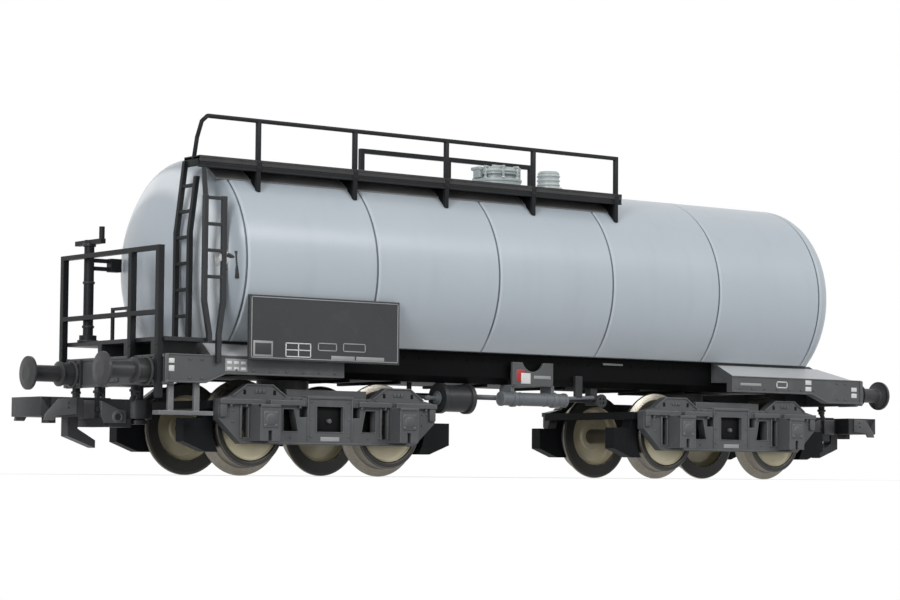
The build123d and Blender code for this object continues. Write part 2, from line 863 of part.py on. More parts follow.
# Ladder on the near side: its feet are drawn together on the sole bar, its left stile
# runs on to the walkway's corner, and its right one turns into the top rung
with BuildPart() as side_ladder:
    foot_top_z = side_ladder_bend_z - side_ladder_foot_rise
    rung_top_z = side_ladder_top_rung_z + stile_width / 2
    # Stiles: place along X, place of the foot, height of the foot
    for stile_x, foot_x, foot_z in (
        (side_ladder_left_x, side_ladder_left_foot_x, platform_top_z - platform_thickness),
        (side_ladder_right_x, side_ladder_right_foot_x, side_ladder_foot_z),
    ):
        with BuildSketch(facing_side(0, side_ladder_y + stile_width / 2)):
            with BuildLine():
                Polyline(
                    (foot_x - stile_width / 2, foot_z),
                    (foot_x - stile_width / 2, foot_top_z),
                    (stile_x - stile_width / 2, side_ladder_bend_z),
                    (stile_x - stile_width / 2, rung_top_z),
                    (stile_x + stile_width / 2, rung_top_z),
                    (stile_x + stile_width / 2, side_ladder_bend_z),
                    (foot_x + stile_width / 2, foot_top_z),
                    (foot_x + stile_width / 2, foot_z),
                    close=True,
                )
            make_face()
        extrude(amount=stile_width)
    for index in range(side_ladder_rungs):
        rung_z = side_ladder_top_rung_z - rung_spacing * index
        add_block(
            (side_ladder_left_x, side_ladder_y - rung_width / 2, rung_z - rung_width / 2),
            (side_ladder_right_x, side_ladder_y + rung_width / 2, rung_z + rung_width / 2),
        )
    add_strut(
        (side_ladder_left_x, side_ladder_y, side_ladder_top_rung_z),
        (side_ladder_top_x, -walk_outer_y, side_ladder_top_z),
        stile_width,
    )
    add_block(
        (side_ladder_left_x, -walk_outer_y, fascia_bottom_z - cut_over),
        (side_ladder_right_x, -walk_inner_y, walk_top_z),
        Mode.SUBTRACT,
    )
side_ladder.part.label = "side_ladder"
export_step(side_ladder.part, "parts/side_ladder.step")


# Number boards beside the tank, blank, one on each side
board_y = tank_y(board_top_z) + board_gap
board_bracket_xs = (board_left_x + board_bracket_length, -end_frame_start_x - board_bracket_length)
for side, toward in sides:
    with BuildPart() as number_board:
        add_block(
            (board_left_x, toward * board_y, board_bottom_z),
            (board_right_x, toward * (board_y + board_thickness), board_top_z),
        )
        for bracket_x in board_bracket_xs:
            add_block(
                (bracket_x - board_bracket_length / 2, toward * sole_y, board_bottom_z),
                (
                    bracket_x + board_bracket_length / 2,
                    toward * board_y,
                    board_bottom_z + board_bracket_height,
                ),
            )
    number_board.part.label = f"number_board_{side}"
    export_step(number_board.part, f"parts/number_board_{side}.step")


# Buffers: a square base, a sleeve, a shaft and a crowned head
buffer_face_x = beam_x + buffer_length
for end, toward in ends:
    for side, across in sides:
        with BuildPart() as buffer:
            with BuildSketch(facing_end(toward * beam_x)):
                with Locations((across * buffer_y, buffer_z)):
                    Rectangle(buffer_base_size, buffer_base_size)
            extrude(amount=toward * buffer_base_thickness)
            head_back_x = buffer_face_x - buffer_head_thickness
            with BuildSketch(facing_side(0, across * buffer_y)):
                with BuildLine():
                    Polyline(
                        (toward * buffer_face_x, buffer_z),
                        (toward * beam_x, buffer_z),
                        (toward * beam_x, buffer_z + buffer_sleeve_radius),
                        (toward * (beam_x + buffer_sleeve_length), buffer_z + buffer_sleeve_radius),
                        (toward * (beam_x + buffer_sleeve_length), buffer_z + buffer_shaft_radius),
                        (toward * head_back_x, buffer_z + buffer_shaft_radius),
                        (toward * head_back_x, buffer_z + buffer_head_radius),
                        (toward * (buffer_face_x - buffer_crown), buffer_z + buffer_head_radius),
                        (toward * buffer_face_x, buffer_z + buffer_shaft_radius),
                        close=True,
                    )
                make_face()
            revolve(axis=Axis((0, across * buffer_y, buffer_z), (1, 0, 0)))
        buffer.part.label = f"buffer_{end}_{side}"
        export_step(buffer.part, f"parts/buffer_{end}_{side}.step")


# Foot steps under the platform end
for side, toward in sides:
    with BuildPart() as foot_step:
        add_block(
            (-step_left_x, toward * step_inner_y, step_z - step_thickness),
            (-step_right_x, toward * step_outer_y, step_z),
        )
        for hanger_x in (-hanger_inner_x, -hanger_outer_x):
            add_block(
                (hanger_x - hanger_width / 2, toward * sole_inner_y, step_z),
                (hanger_x + hanger_width / 2, toward * (sole_inner_y + hanger_thickness), sole_deep_z),
            )
    foot_step.part.label = f"foot_step_{side}"
    export_step(foot_step.part, f"parts/foot_step_{side}.step")


# Air reservoir, strapped under the near edge of the sill
with BuildPart() as air_reservoir:
    with BuildSketch(facing_side(0, reservoir_y)):
        with BuildLine():
            Polyline(
                (reservoir_left_x, reservoir_z),
                (reservoir_left_x, reservoir_z + reservoir_radius - reservoir_end_edge),
                (reservoir_left_x + reservoir_end_edge, reservoir_z + reservoir_radius),
                (reservoir_right_x - reservoir_end_edge, reservoir_z + reservoir_radius),
                (reservoir_right_x, reservoir_z + reservoir_radius - reservoir_end_edge),
                (reservoir_right_x, reservoir_z),
                close=True,
            )
        make_face()
    revolve(axis=Axis((0, reservoir_y, reservoir_z), (1, 0, 0)))
    for band_x in (reservoir_left_x + reservoir_band_inset, reservoir_right_x - reservoir_band_inset):
        add_bar(
            (band_x - reservoir_band_width / 2, reservoir_y, reservoir_z),
            (band_x + reservoir_band_width / 2, reservoir_y, reservoir_z),
            reservoir_radius + reservoir_band_height,
        )
        add_block(
            (band_x - reservoir_band_width / 2, reservoir_y, reservoir_z),
            (band_x + reservoir_band_width / 2, reservoir_y + reservoir_strap_length, sill_bottom_z),
        )
air_reservoir.part.label = "air_reservoir"
export_step(air_reservoir.part, "parts/air_reservoir.step")

# Label panels beside the reservoir, blank, with a round notch in the top edge
for side, toward in sides:
    with BuildPart() as label_panel:
        panel_inner_y = toward * panel_y
        with BuildSketch(facing_side(0, panel_inner_y)):
            with BuildLine():
                Polyline(
                    (panel_left_x, panel_bottom_z),
                    (panel_right_x, panel_bottom_z),
                    (panel_right_x, panel_top_z),
                    (panel_left_x, panel_top_z),
                    close=True,
                )
            make_face()
            with Locations(((panel_left_x + panel_right_x) / 2, panel_top_z + panel_notch_rise)):
                Circle(panel_notch_radius, mode=Mode.SUBTRACT)
        extrude(amount=-toward * panel_thickness)
        for stub_x in (panel_left_x + panel_stub_size, panel_right_x - panel_stub_size):
            add_block(
                (stub_x - panel_stub_size / 2, toward * sill_half_y, sill_bottom_z + panel_stub_size),
                (stub_x + panel_stub_size / 2, panel_inner_y, sill_bottom_z + 2 * panel_stub_size),
            )
    label_panel.part.label = f"label_panel_{side}"
    export_step(label_panel.part, f"parts/label_panel_{side}.step")


# Brake cylinder under the sill, with a cap at each end
with BuildPart() as brake_cylinder:
    cylinder_z = sill_bottom_z - cylinder_cap_radius
    add_bar(
        (cylinder_left_x, cylinder_y, cylinder_z),
        (cylinder_right_x, cylinder_y, cylinder_z),
        cylinder_radius,
    )
    for cap_x in (cylinder_left_x, cylinder_right_x - cylinder_cap_length):
        add_bar(
            (cap_x, cylinder_y, cylinder_z),
            (cap_x + cylinder_cap_length, cylinder_y, cylinder_z),
            cylinder_cap_radius,
        )
brake_cylinder.part.label = "brake_cylinder"
export_step(brake_cylinder.part, "parts/brake_cylinder.step")

# Brake rod along the car's underside, with its hangers
with BuildPart() as brake_rod:
    add_bar((rod_left_x, rod_y, rod_z), (rod_right_x, rod_y, rod_z), rod_radius)
    for hanger_x in (rod_left_x + rod_hanger_inset, rod_right_x - rod_hanger_inset):
        add_bar((hanger_x, rod_y, rod_z), (hanger_x, rod_y, sill_bottom_z), rod_radius)
brake_rod.part.label = "brake_rod"
export_step(brake_rod.part, "parts/brake_rod.step")

# Changeover lever and hand wheel on the sill's near side
with BuildPart() as changeover_lever:
    add_block(
        (lever_x - lever_width / 2, -panel_y, lever_bottom_z),
        (lever_x + lever_width / 2, -panel_y + lever_thickness, lever_top_z),
    )
    add_block(
        (lever_x - lever_width / 2, -panel_y + lever_thickness, sill_bottom_z + sill_edge_radius),
        (lever_x + lever_width / 2, -sill_half_y, lever_top_z),
    )
changeover_lever.part.label = "changeover_lever"
export_step(changeover_lever.part, "parts/changeover_lever.step")

with BuildPart() as drain_handwheel:
    handwheel_back_y = -handwheel_y + handwheel_stem_length
    with BuildSketch(facing_side(handwheel_x, -handwheel_y)):
        with Locations((0, handwheel_z)):
            Circle(handwheel_radius)
            Circle(handwheel_radius - 2 * handwheel_ring, mode=Mode.SUBTRACT)
            Rectangle(2 * handwheel_radius - handwheel_ring, handwheel_stem_radius)
            Rectangle(handwheel_stem_radius, 2 * handwheel_radius - handwheel_ring)
    extrude(amount=handwheel_ring)
    add_bar(
        (handwheel_x, -handwheel_y - handwheel_ring, handwheel_z),
        (handwheel_x, handwheel_back_y, handwheel_z),
        handwheel_stem_radius,
    )
    add_block(
        (handwheel_x - handwheel_block / 2, handwheel_back_y, handwheel_z - handwheel_block / 2),
        (handwheel_x + handwheel_block / 2, handwheel_back_y + handwheel_block, sill_bottom_z),
    )
drain_handwheel.part.label = "drain_handwheel"
export_step(drain_handwheel.part, "parts/drain_handwheel.step")


# Bogie pins: each hangs from the sill through a bogie's centre block, with a head below
for end, toward in ends:
    with BuildPart() as bogie_pin:
        pin_x = toward * bogie_x
        pin_low_z = crossbeam_bottom_z - pin_head_gap
        add_bar((pin_x, 0, pin_low_z), (pin_x, 0, sill_bottom_z), pin_radius)
        add_bar((pin_x, 0, pin_low_z - pin_head_height), (pin_x, 0, pin_low_z), pin_head_radius)
    bogie_pin.part.label = f"bogie_pin_{end}"
    export_step(bogie_pin.part, f"parts/bogie_pin_{end}.step")


# Bogie frames: pierced side frames with axleboxes, joined by a centre block with two crossbeams.
# A side frame's half outline runs from the middle of its foot, around its end, over the
# spring arch, to the middle of its centre plate.
half_outline = (
    (0, side_frame_bottom_z),
    (side_frame_foot_half_length, side_frame_bottom_z),
    (side_frame_half_length, side_frame_end_bottom_z),
    (side_frame_half_length, side_frame_end_top_z),
    (axle_offset + arch_base_length / 2, side_frame_waist_z),
    (axle_offset + arch_crest_length / 2, arch_top_z),
    (axle_offset - arch_crest_length / 2, arch_top_z),
    (axle_offset - arch_base_length / 2, side_frame_waist_z),
    (plate_half_length, side_frame_waist_z),
    (plate_half_length, plate_top_z),
    (0, plate_top_z),
)
half_window = (
    (0, window_bottom_z),
    (window_half_length, window_bottom_z),
    (window_half_length, window_top_z),
    (0, window_top_z),
)
slot_hole = (
    (slot_start_x, slot_bottom_z),
    (slot_end_x, slot_bottom_z),
    (slot_end_x, slot_top_z),
    (slot_start_x, slot_top_z),
)
strut_hole = (
    (strut_hole_start_x, strut_hole_bottom_z),
    (strut_hole_end_x, strut_hole_bottom_z),
    (strut_hole_end_x, strut_hole_top_z),
    (strut_hole_start_x + strut_hole_lean, strut_hole_top_z),
)
axle_bay = (
    (axle_offset - axle_bay_length / 2, axle_bay_bottom_z),
    (axle_offset + axle_bay_length / 2, axle_bay_bottom_z),
    (axle_offset + axle_bay_length / 2, axle_bay_top_z),
    (axle_offset - axle_bay_length / 2, axle_bay_top_z),
)
# Ledges along the frame's upper chord: start and end from the bogie's centre
chord_ledges = (
    (chord_start_x, chord_gap_start_x),
    (chord_gap_end_x, side_frame_half_length),
)
for end, toward in ends:
    centre_x = toward * bogie_x
    with BuildPart() as bogie_frame:
        with BuildSketch(facing_side(centre_x, -side_frame_inner_y)):
            with BuildLine():
                Polyline(*half_outline, close=True)
            make_face()
            for hole in (half_window, slot_hole, strut_hole, axle_bay):
                with BuildLine():
                    Polyline(*hole, close=True)
                make_face(mode=Mode.SUBTRACT)
            mirror(about=Plane.YZ)
        extrude(amount=side_frame_outer_y - side_frame_inner_y)
        for axle_x in (centre_x - axle_offset, centre_x + axle_offset):
            add_block(
                (axle_x - axlebox_length / 2, -side_frame_inner_y, axlebox_bottom_z),
                (axle_x + axlebox_length / 2, -axlebox_outer_y, axlebox_top_z),
            )
            add_block(
                (axle_x - guide_slot_length / 2, -axlebox_outer_y, axlebox_bottom_z),
                (axle_x + guide_slot_length / 2, -axlebox_outer_y + guide_slot_depth, guide_slot_top_z),
                Mode.SUBTRACT,
            )
            with BuildSketch(facing_side(axle_x, -side_frame_inner_y)):
                with Locations((0, axle_z)):
                    Circle(journal_radius + running_gap)
            extrude(amount=journal_end_y - side_frame_inner_y + running_gap, mode=Mode.SUBTRACT)
        for chord_end in (-1, 1):
            for ledge_start_x, ledge_end_x in chord_ledges:
                add_block(
                    (centre_x + chord_end * ledge_start_x, -side_frame_outer_y, chord_bottom_z),
                    (
                        centre_x + chord_end * ledge_end_x,
                        -side_frame_outer_y - chord_depth,
                        side_frame_end_top_z,
                    ),
                )
        # The bolster's band behind the centre plate
        add_block(
            (centre_x - bolster_half_length, -side_frame_inner_y, crossbeam_top_z),
            (centre_x + bolster_half_length, -side_frame_inner_y - bolster_thickness, bolster_top_z),
        )
        mirror(about=Plane.XZ)
        for beam_end in (-1, 1):
            add_block(
                (centre_x + beam_end * crossbeam_start_x, -side_frame_inner_y, crossbeam_bottom_z),
                (centre_x + beam_end * crossbeam_end_x, side_frame_inner_y, crossbeam_top_z),
            )
        add_block(
            (centre_x - crossbeam_end_x, -centre_block_half_y, crossbeam_bottom_z),
            (centre_x + crossbeam_end_x, centre_block_half_y, crossbeam_top_z),
        )
        pad_top_z = sill_bottom_z - pivot_pad_gap
        add_bar((centre_x, 0, crossbeam_top_z), (centre_x, 0, pad_top_z), pivot_pad_radius)
        with BuildSketch(lying(centre_x, 0, crossbeam_bottom_z - cut_over)):
            Circle(pin_radius + running_gap)
        extrude(amount=sill_bottom_z - crossbeam_bottom_z + cut_over, mode=Mode.SUBTRACT)
    bogie_frame.part.label = f"bogie_frame_{end}"
    export_step(bogie_frame.part, f"parts/bogie_frame_{end}.step")


# Brake gear: a beam across each end of a bogie, with a shoe behind each wheel's tread
shoe_inner_radius = tread_radius + shoe_gap
shoe_outer_radius = shoe_inner_radius + shoe_thickness
shoe_y = (wheel_inner_y + flange_width + wheel_outer_y) / 2
for end, toward in ends:
    with BuildPart() as brake_shoes:
        for outward in (-1, 1):
            axle_x = toward * bogie_x + outward * axle_offset
            beam_outer_x = axle_x + outward * shoe_outer_radius
            shoe_beam_z = axle_z + shoe_outer_radius * sin(radians(shoe_high_angle))
            # The shoe's tips: radius and angle
            tips = []
            for radius, angle in (
                (shoe_inner_radius, shoe_low_angle),
                (shoe_inner_radius, shoe_high_angle),
                (shoe_outer_radius, shoe_high_angle),
            ):
                turn = radians(angle)
                tips.append((outward * radius * cos(turn), axle_z + radius * sin(turn)))
            for across in (-1, 1):
                with BuildSketch(facing_side(axle_x, across * shoe_y + shoe_width / 2)):
                    with BuildLine():
                        ThreePointArc(tips[0], (outward * shoe_inner_radius, axle_z), tips[1])
                        Polyline(
                            tips[1],
                            tips[2],
                            (outward * shoe_outer_radius, shoe_pad_top_z),
                            (outward * shoe_pad_reach, shoe_pad_top_z),
                            (outward * shoe_pad_reach, shoe_pad_slant_z),
                            (outward * shoe_pad_slant_reach, tips[0][1]),
                            tips[0],
                        )
                    make_face()
                extrude(amount=shoe_width)
            add_block(
                (beam_outer_x, -side_frame_inner_y, shoe_beam_z - shoe_beam_size),
                (beam_outer_x - outward * shoe_beam_size, side_frame_inner_y, shoe_beam_z),
            )
    brake_shoes.part.label = f"brake_shoes_{end}"
    export_step(brake_shoes.part, f"parts/brake_shoes_{end}.step")


# Wheelsets: an axle with journals, and two flanged wheels on it
for number, axle_x in enumerate(axle_places, start=1):
    with BuildPart() as axle:
        with BuildSketch(lying(axle_x, 0, axle_z)):
            with BuildLine():
                Polyline(
                    (0, -journal_end_y),
                    (journal_radius, -journal_end_y),
                    (journal_radius, -wheel_outer_y),
                    (axle_radius, -wheel_outer_y),
                    (axle_radius, wheel_outer_y),
                    (journal_radius, wheel_outer_y),
                    (journal_radius, journal_end_y),
                    (0, journal_end_y),
                    close=True,
                )
            make_face()
        revolve(axis=Axis((axle_x, 0, axle_z), (0, 1, 0)))
    axle.part.label = f"axle_{number}"
    export_step(axle.part, f"parts/axle_{number}.step")

    with BuildPart() as wheels:
        with BuildSketch(lying(axle_x, 0, axle_z)):
            with BuildLine():
                Polyline(
                    (axle_radius, wheel_inner_y + disc_inner_depth),
                    (rim_inner_radius, wheel_inner_y + disc_inner_depth),
                    (rim_inner_radius, wheel_inner_y),
                    (flange_radius, wheel_inner_y),
                    (tread_radius, wheel_inner_y + flange_width),
                    (tread_radius, wheel_outer_y),
                    (rim_inner_radius, wheel_outer_y),
                    (axle_radius, wheel_outer_y - disc_outer_depth),
                    close=True,
                )
            make_face()
        revolve(axis=Axis((axle_x, 0, axle_z), (0, 1, 0)))
        mirror(about=Plane.XZ)
    wheels.part.label = f"wheels_{number}"
    export_step(wheels.part, f"parts/wheels_{number}.step")


# Coupler pockets: a block under each end frame, with the pin that the coupler swings on
for end, toward in ends:
    pivot_x = toward * coupler_pivot_x
    with BuildPart() as coupler_pocket:
        add_block(
            (toward * (beam_x - beam_thickness), -pocket_half_y, beam_bottom_z),
            (toward * (beam_x - beam_thickness - pocket_length), pocket_half_y, frame_ceiling_z),
        )
        pin_low_z = coupler_bottom_z - coupler_gap
        add_bar((pivot_x, 0, pin_low_z), (pivot_x, 0, beam_bottom_z), coupler_pin_radius)
        add_bar(
            (pivot_x, 0, pin_low_z - coupler_pin_head_height), (pivot_x, 0, pin_low_z), coupler_pin_head_radius
        )
    coupler_pocket.part.label = f"coupler_pocket_{end}"
    export_step(coupler_pocket.part, f"parts/coupler_pocket_{end}.step")


# Couplers: an eye, a shank, a claw with a sloped front bar, and a tail for the uncoupler
coupler_head_x = coupler_tip_x - coupler_head_length
for end, toward in ends:
    pivot_x = toward * coupler_pivot_x
    with BuildPart() as coupler:
        add_bar((pivot_x, 0, coupler_bottom_z), (pivot_x, 0, coupler_top_z), coupler_eye_radius)
        add_block(
            (pivot_x, -shank_half_y, coupler_bottom_z),
            (toward * (coupler_head_x + claw_arm_width), shank_half_y, coupler_top_z),
        )
        add_block(
            (toward * coupler_head_x, -coupler_half_y, coupler_bottom_z),
            (toward * coupler_tip_x, coupler_half_y, coupler_top_z),
        )
        add_block(
            (toward * (coupler_head_x + claw_arm_width), -coupler_half_y + claw_arm_width, coupler_bottom_z),
            (toward * (coupler_tip_x - claw_bar_width), coupler_half_y - claw_arm_width, coupler_top_z),
            Mode.SUBTRACT,
        )
        with BuildSketch(facing_side(0, coupler_half_y + cut_over)):
            with BuildLine():
                Polyline(
                    (toward * coupler_tip_x, coupler_bottom_z),
                    (toward * (coupler_tip_x - coupler_slope), coupler_bottom_z),
                    (toward * coupler_tip_x, coupler_top_z),
                    close=True,
                )
            make_face()
        extrude(amount=2 * (coupler_half_y + cut_over), mode=Mode.SUBTRACT)
        for block_start_x, block_end_x, block_half_y, block_bottom_z in shank_blocks:
            add_block(
                (toward * (beam_x + block_start_x), -block_half_y, block_bottom_z),
                (toward * (beam_x + block_end_x), block_half_y, coupler_bottom_z),
            )
        with BuildSketch(facing_side(0, tail_half_y)):
            with BuildLine():
                tail_foot_x = tail_x - tail_foot_run
                Polyline(
                    (toward * tail_x, coupler_bottom_z),
                    (toward * (tail_x + tail_width), coupler_bottom_z),
                    (toward * (tail_x + tail_width), tail_bottom_z),
                    (toward * tail_foot_x, tail_foot_z),
                    (toward * tail_foot_x, tail_foot_z + tail_foot_height),
                    (toward * tail_x, tail_bottom_z + tail_foot_height),
                    close=True,
                )
            make_face()
        extrude(amount=2 * tail_half_y)
        with BuildSketch(lying(pivot_x, 0, coupler_bottom_z - cut_over)):
            Circle(coupler_pin_radius + running_gap)
        extrude(amount=coupler_top_z - coupler_bottom_z + 2 * cut_over, mode=Mode.SUBTRACT)
    coupler.part.label = f"coupler_{end}"
    export_step(coupler.part, f"parts/coupler_{end}.step")
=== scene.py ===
import json
from math import cos, pi, radians, sin

import bpy
from mathutils import Matrix, Vector


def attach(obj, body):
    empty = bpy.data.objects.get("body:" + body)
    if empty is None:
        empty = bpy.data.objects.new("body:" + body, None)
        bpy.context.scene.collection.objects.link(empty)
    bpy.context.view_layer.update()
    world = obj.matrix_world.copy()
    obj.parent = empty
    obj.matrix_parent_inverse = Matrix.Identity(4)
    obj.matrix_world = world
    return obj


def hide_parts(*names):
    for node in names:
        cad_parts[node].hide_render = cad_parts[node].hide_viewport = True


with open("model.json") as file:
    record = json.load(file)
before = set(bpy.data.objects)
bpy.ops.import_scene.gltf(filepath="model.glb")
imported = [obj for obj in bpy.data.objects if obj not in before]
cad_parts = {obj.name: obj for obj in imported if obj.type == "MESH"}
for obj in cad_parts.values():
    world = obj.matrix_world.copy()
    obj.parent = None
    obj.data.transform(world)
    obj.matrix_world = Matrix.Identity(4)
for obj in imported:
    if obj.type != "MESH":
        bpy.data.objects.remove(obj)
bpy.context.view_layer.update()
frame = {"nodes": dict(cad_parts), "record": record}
bpy.ops.object.select_all(action="DESELECT")

mm = 0.001
# How far edges are rounded, in millimetres, from painted marks to stout blocks
mark_edge, thin_edge, slim_edge, plain_edge, stout_edge = 0.01, 0.02, 0.03, 0.04, 0.05
sharp_degrees = 32  # edges that bend less than this stay smooth
sunk = 0.1  # how far small parts are let into the face that they stand on, in millimetres

# Places and sizes that the car's pieces share, in millimetres
bogie_places = {"front_bogie": -20.45, "rear_bogie": 20.45}
axle_reach = 6.25
axle_z = 3.55
wheel_places = (-26.7, -14.2, 14.2, 26.7)
frame_face_y = 6.45
box_face_y = 7.95
sole_face_y = 7.3
sill_face_y = 4.7
board_face_y = 8.19
panel_face_y = 5.3
walk_top_z = 23.16
buffer_y, buffer_z = 5.47, 7.45
beam_x = 35.3
manhole_x, vent_x = 0.3, 5.75
tank_axis_z = 15.49
reservoir_y, reservoir_z = -5.0, 6.22
cylinder_y, cylinder_z = -4.0, 6.15
seam_places = (-28.9, -17.26, -5.62, 6.02, 17.66, 29.3)


class Signal:
    """A socket of a material's node tree that can be used in sums."""

    def __init__(self, tree, socket):
        self.tree = tree
        self.socket = socket

    def sum(self, operation, first, second):
        """A sum of two values, each a number or a Signal of this tree."""
        made = self.tree.nodes.new("ShaderNodeMath")
        made.operation = operation
        for place, value in zip(made.inputs, (first, second)):
            if isinstance(value, Signal):
                self.tree.links.new(value.socket, place)
            else:
                place.default_value = value
        return Signal(self.tree, made.outputs[0])

    def __add__(self, other):
        return self.sum("ADD", self, other)

    def __radd__(self, other):
        return self.sum("ADD", other, self)

    def __sub__(self, other):
        return self.sum("SUBTRACT", self, other)

    def __rsub__(self, other):
        return self.sum("SUBTRACT", other, self)

    def __mul__(self, other):
        return self.sum("MULTIPLY", self, other)

    def __rmul__(self, other):
        return self.sum("MULTIPLY", other, self)

    def __gt__(self, other):
        return self.sum("GREATER_THAN", self, other)

    def __lt__(self, other):
        return self.sum("LESS_THAN", self, other)


class Finish:
    """One material: its nodes come from node(), and shade() joins it to the surface."""

    def __init__(self, name):
        self.material = bpy.data.materials.new(name)
        self.material.use_nodes = True
        self.tree = self.material.node_tree
        self.tree.nodes.clear()
        self.place = self.node("TexCoord", output="Object")

    def node(self, kind, settings=None, sockets=None, output=0):
        """Make a node with these settings and sockets, and hand back one of its outputs."""
        made = self.tree.nodes.new("ShaderNode" + kind)
        for name, value in (settings or {}).items():
            setattr(made, name, value)
        for name, value in (sockets or {}).items():
            if isinstance(value, Signal):
                self.tree.links.new(value.socket, made.inputs[name])
            else:
                made.inputs[name].default_value = value
        return Signal(self.tree, made.outputs[output]) if made.outputs else None

    def noise(self, size, detail, stretch=(1, 1, 1)):
        """Soft noise from 0 to 1 whose blobs are about this long, in metres, times the stretch."""
        scale = tuple(1 / share for share in stretch)
        place = self.node("Mapping", None, {"Vector": self.place, "Scale": scale})
        return self.node("TexNoise", None, {"Vector": place, "Scale": 1 / size, "Detail": detail})

    def along(self, axis):
        """The place along X, Y or Z, in metres."""
        return self.node("SeparateXYZ", None, {0: self.place}, output="XYZ".index(axis))

    def bars(self, axis, pitch):
        """1 on bars that cross an axis at this pitch, and 0 between them."""
        turns = self.along(axis) * (1 / pitch)
        return turns.sum("FRACT", turns, 0.0) > 0.5

    def mix(self, share, first, second):
        """A colour between two, by a share from 0 to 1."""
        sockets = {"Factor": share}
        for place, colour in ((6, first), (7, second)):
            sockets[place] = colour if isinstance(colour, Signal) else (*colour, 1)
        return self.node("Mix", {"data_type": "RGBA"}, sockets, output=2)

    def eased(self, value, low, high):
        """The value carried from low..high to 0..1, and held there."""
        sockets = {"Value": value, "From Min": low, "From Max": high}
        return self.node("MapRange", {"interpolation_type": "SMOOTHSTEP"}, sockets)

    def softened(self, width):
        """The surface's direction with its edges rounded this far."""
        return self.node("Bevel", {"samples": 4}, {"Radius": width})

    def edges(self, rounded):
        """1 on edges that stand out or in, and 0 on flat places."""
        contrast = 6
        flat = self.node("NewGeometry", output="Normal")
        sockets = {0: rounded, 1: flat}
        facing = self.node("VectorMath", {"operation": "DOT_PRODUCT"}, sockets, output="Value")
        return self.node("Clamp", None, {"Value": (1 - facing) * contrast})

    def bump(self, height, depth, over):
        """The surface's direction with a relief this deep laid over another direction."""
        return self.node("Bump", None, {"Height": height, "Distance": depth, "Normal": over})

    def shade(self, **sockets):
        """Join the principled shader, whose sockets are named with _ for a space."""
        named = {name.replace("_", " "): value for name, value in sockets.items()}
        for name, value in named.items():
            if isinstance(value, tuple) and len(value) == 3:
                named[name] = (*value, 1)
        surface = self.node("BsdfPrincipled", None, named)
        self.node("OutputMaterial", None, {"Surface": surface})
        return self.material


def tint(red, green, blue):
    """A colour as it is written in a picture, from 0 to 255, made linear."""
    colour = []
    for value in (red / 255, green / 255, blue / 255):
        colour.append(value / 12.92 if value <= 0.04045 else ((value + 0.055) / 1.055) ** 2.4)
    return tuple(colour)


def grey(level, blue):
    """A grey, from 0 to 255, cooled by blue."""
    return tint(level - blue, level, level + blue)


def moulded(name, level, blue, roughness, edge_gain, gloss=0.28, tread=False, paint_top_light=False):
    """Moulded and painted plastic: cloudy tone, fine grain, rounded edges rubbed lighter, and painted light
    on what leans up if asked.
    """
    brightest, top_light_level, tread_pitch = 235, 192, 0.55 * mm
    finish = Finish(name)
    cloud = finish.noise(5 * mm, 4)
    grain = finish.noise(0.22 * mm, 3)
    dust = finish.eased(finish.noise(1.6 * mm, 5), 0.52, 0.8)
    tone = finish.mix(cloud, grey(level * 0.9, blue), grey(level * 1.08, blue))
    tone = finish.mix(dust * 0.22, tone, grey(min(level * 1.25 + 16, brightest), blue))
    rounded = finish.softened(0.09 * mm)
    rubbed = finish.edges(rounded) * (0.55 + 0.45 * cloud) * edge_gain
    tone = finish.mix(rubbed, tone, grey(min(level * 1.7 + 26, 240), blue))
    relief = finish.bump(grain, 0.01 * mm, rounded)
    direction = finish.node("NewGeometry", output="Normal")
    upward = finish.node("SeparateXYZ", None, {0: direction}, output=2)
    if paint_top_light:
        # Painted light: paler where the surface leans up, as on the sloped aprons
        top_light_share = finish.eased(upward, 0.55, 0.9) * (0.75 + 0.25 * cloud)
        tone = finish.mix(top_light_share, tone, grey(top_light_level, blue))
    if tread:
        # A pressed tread on what faces up: a lattice of raised bars
        lattice = finish.bars("X", tread_pitch) + finish.bars("Y", tread_pitch)
        raised = (lattice > 0.5) * (upward > 0.9)
        tone = finish.mix(raised * 0.3, tone, grey(min(level * 1.5 + 14, brightest), blue))
        relief = finish.bump(raised, 0.06 * mm, relief)
    return finish.shade(
        Base_Color=tone,
        Roughness=roughness + 0.16 * (grain - 0.5) + 0.14 * (cloud - 0.5),
        Specular_IOR_Level=gloss,
        Normal=relief,
    )


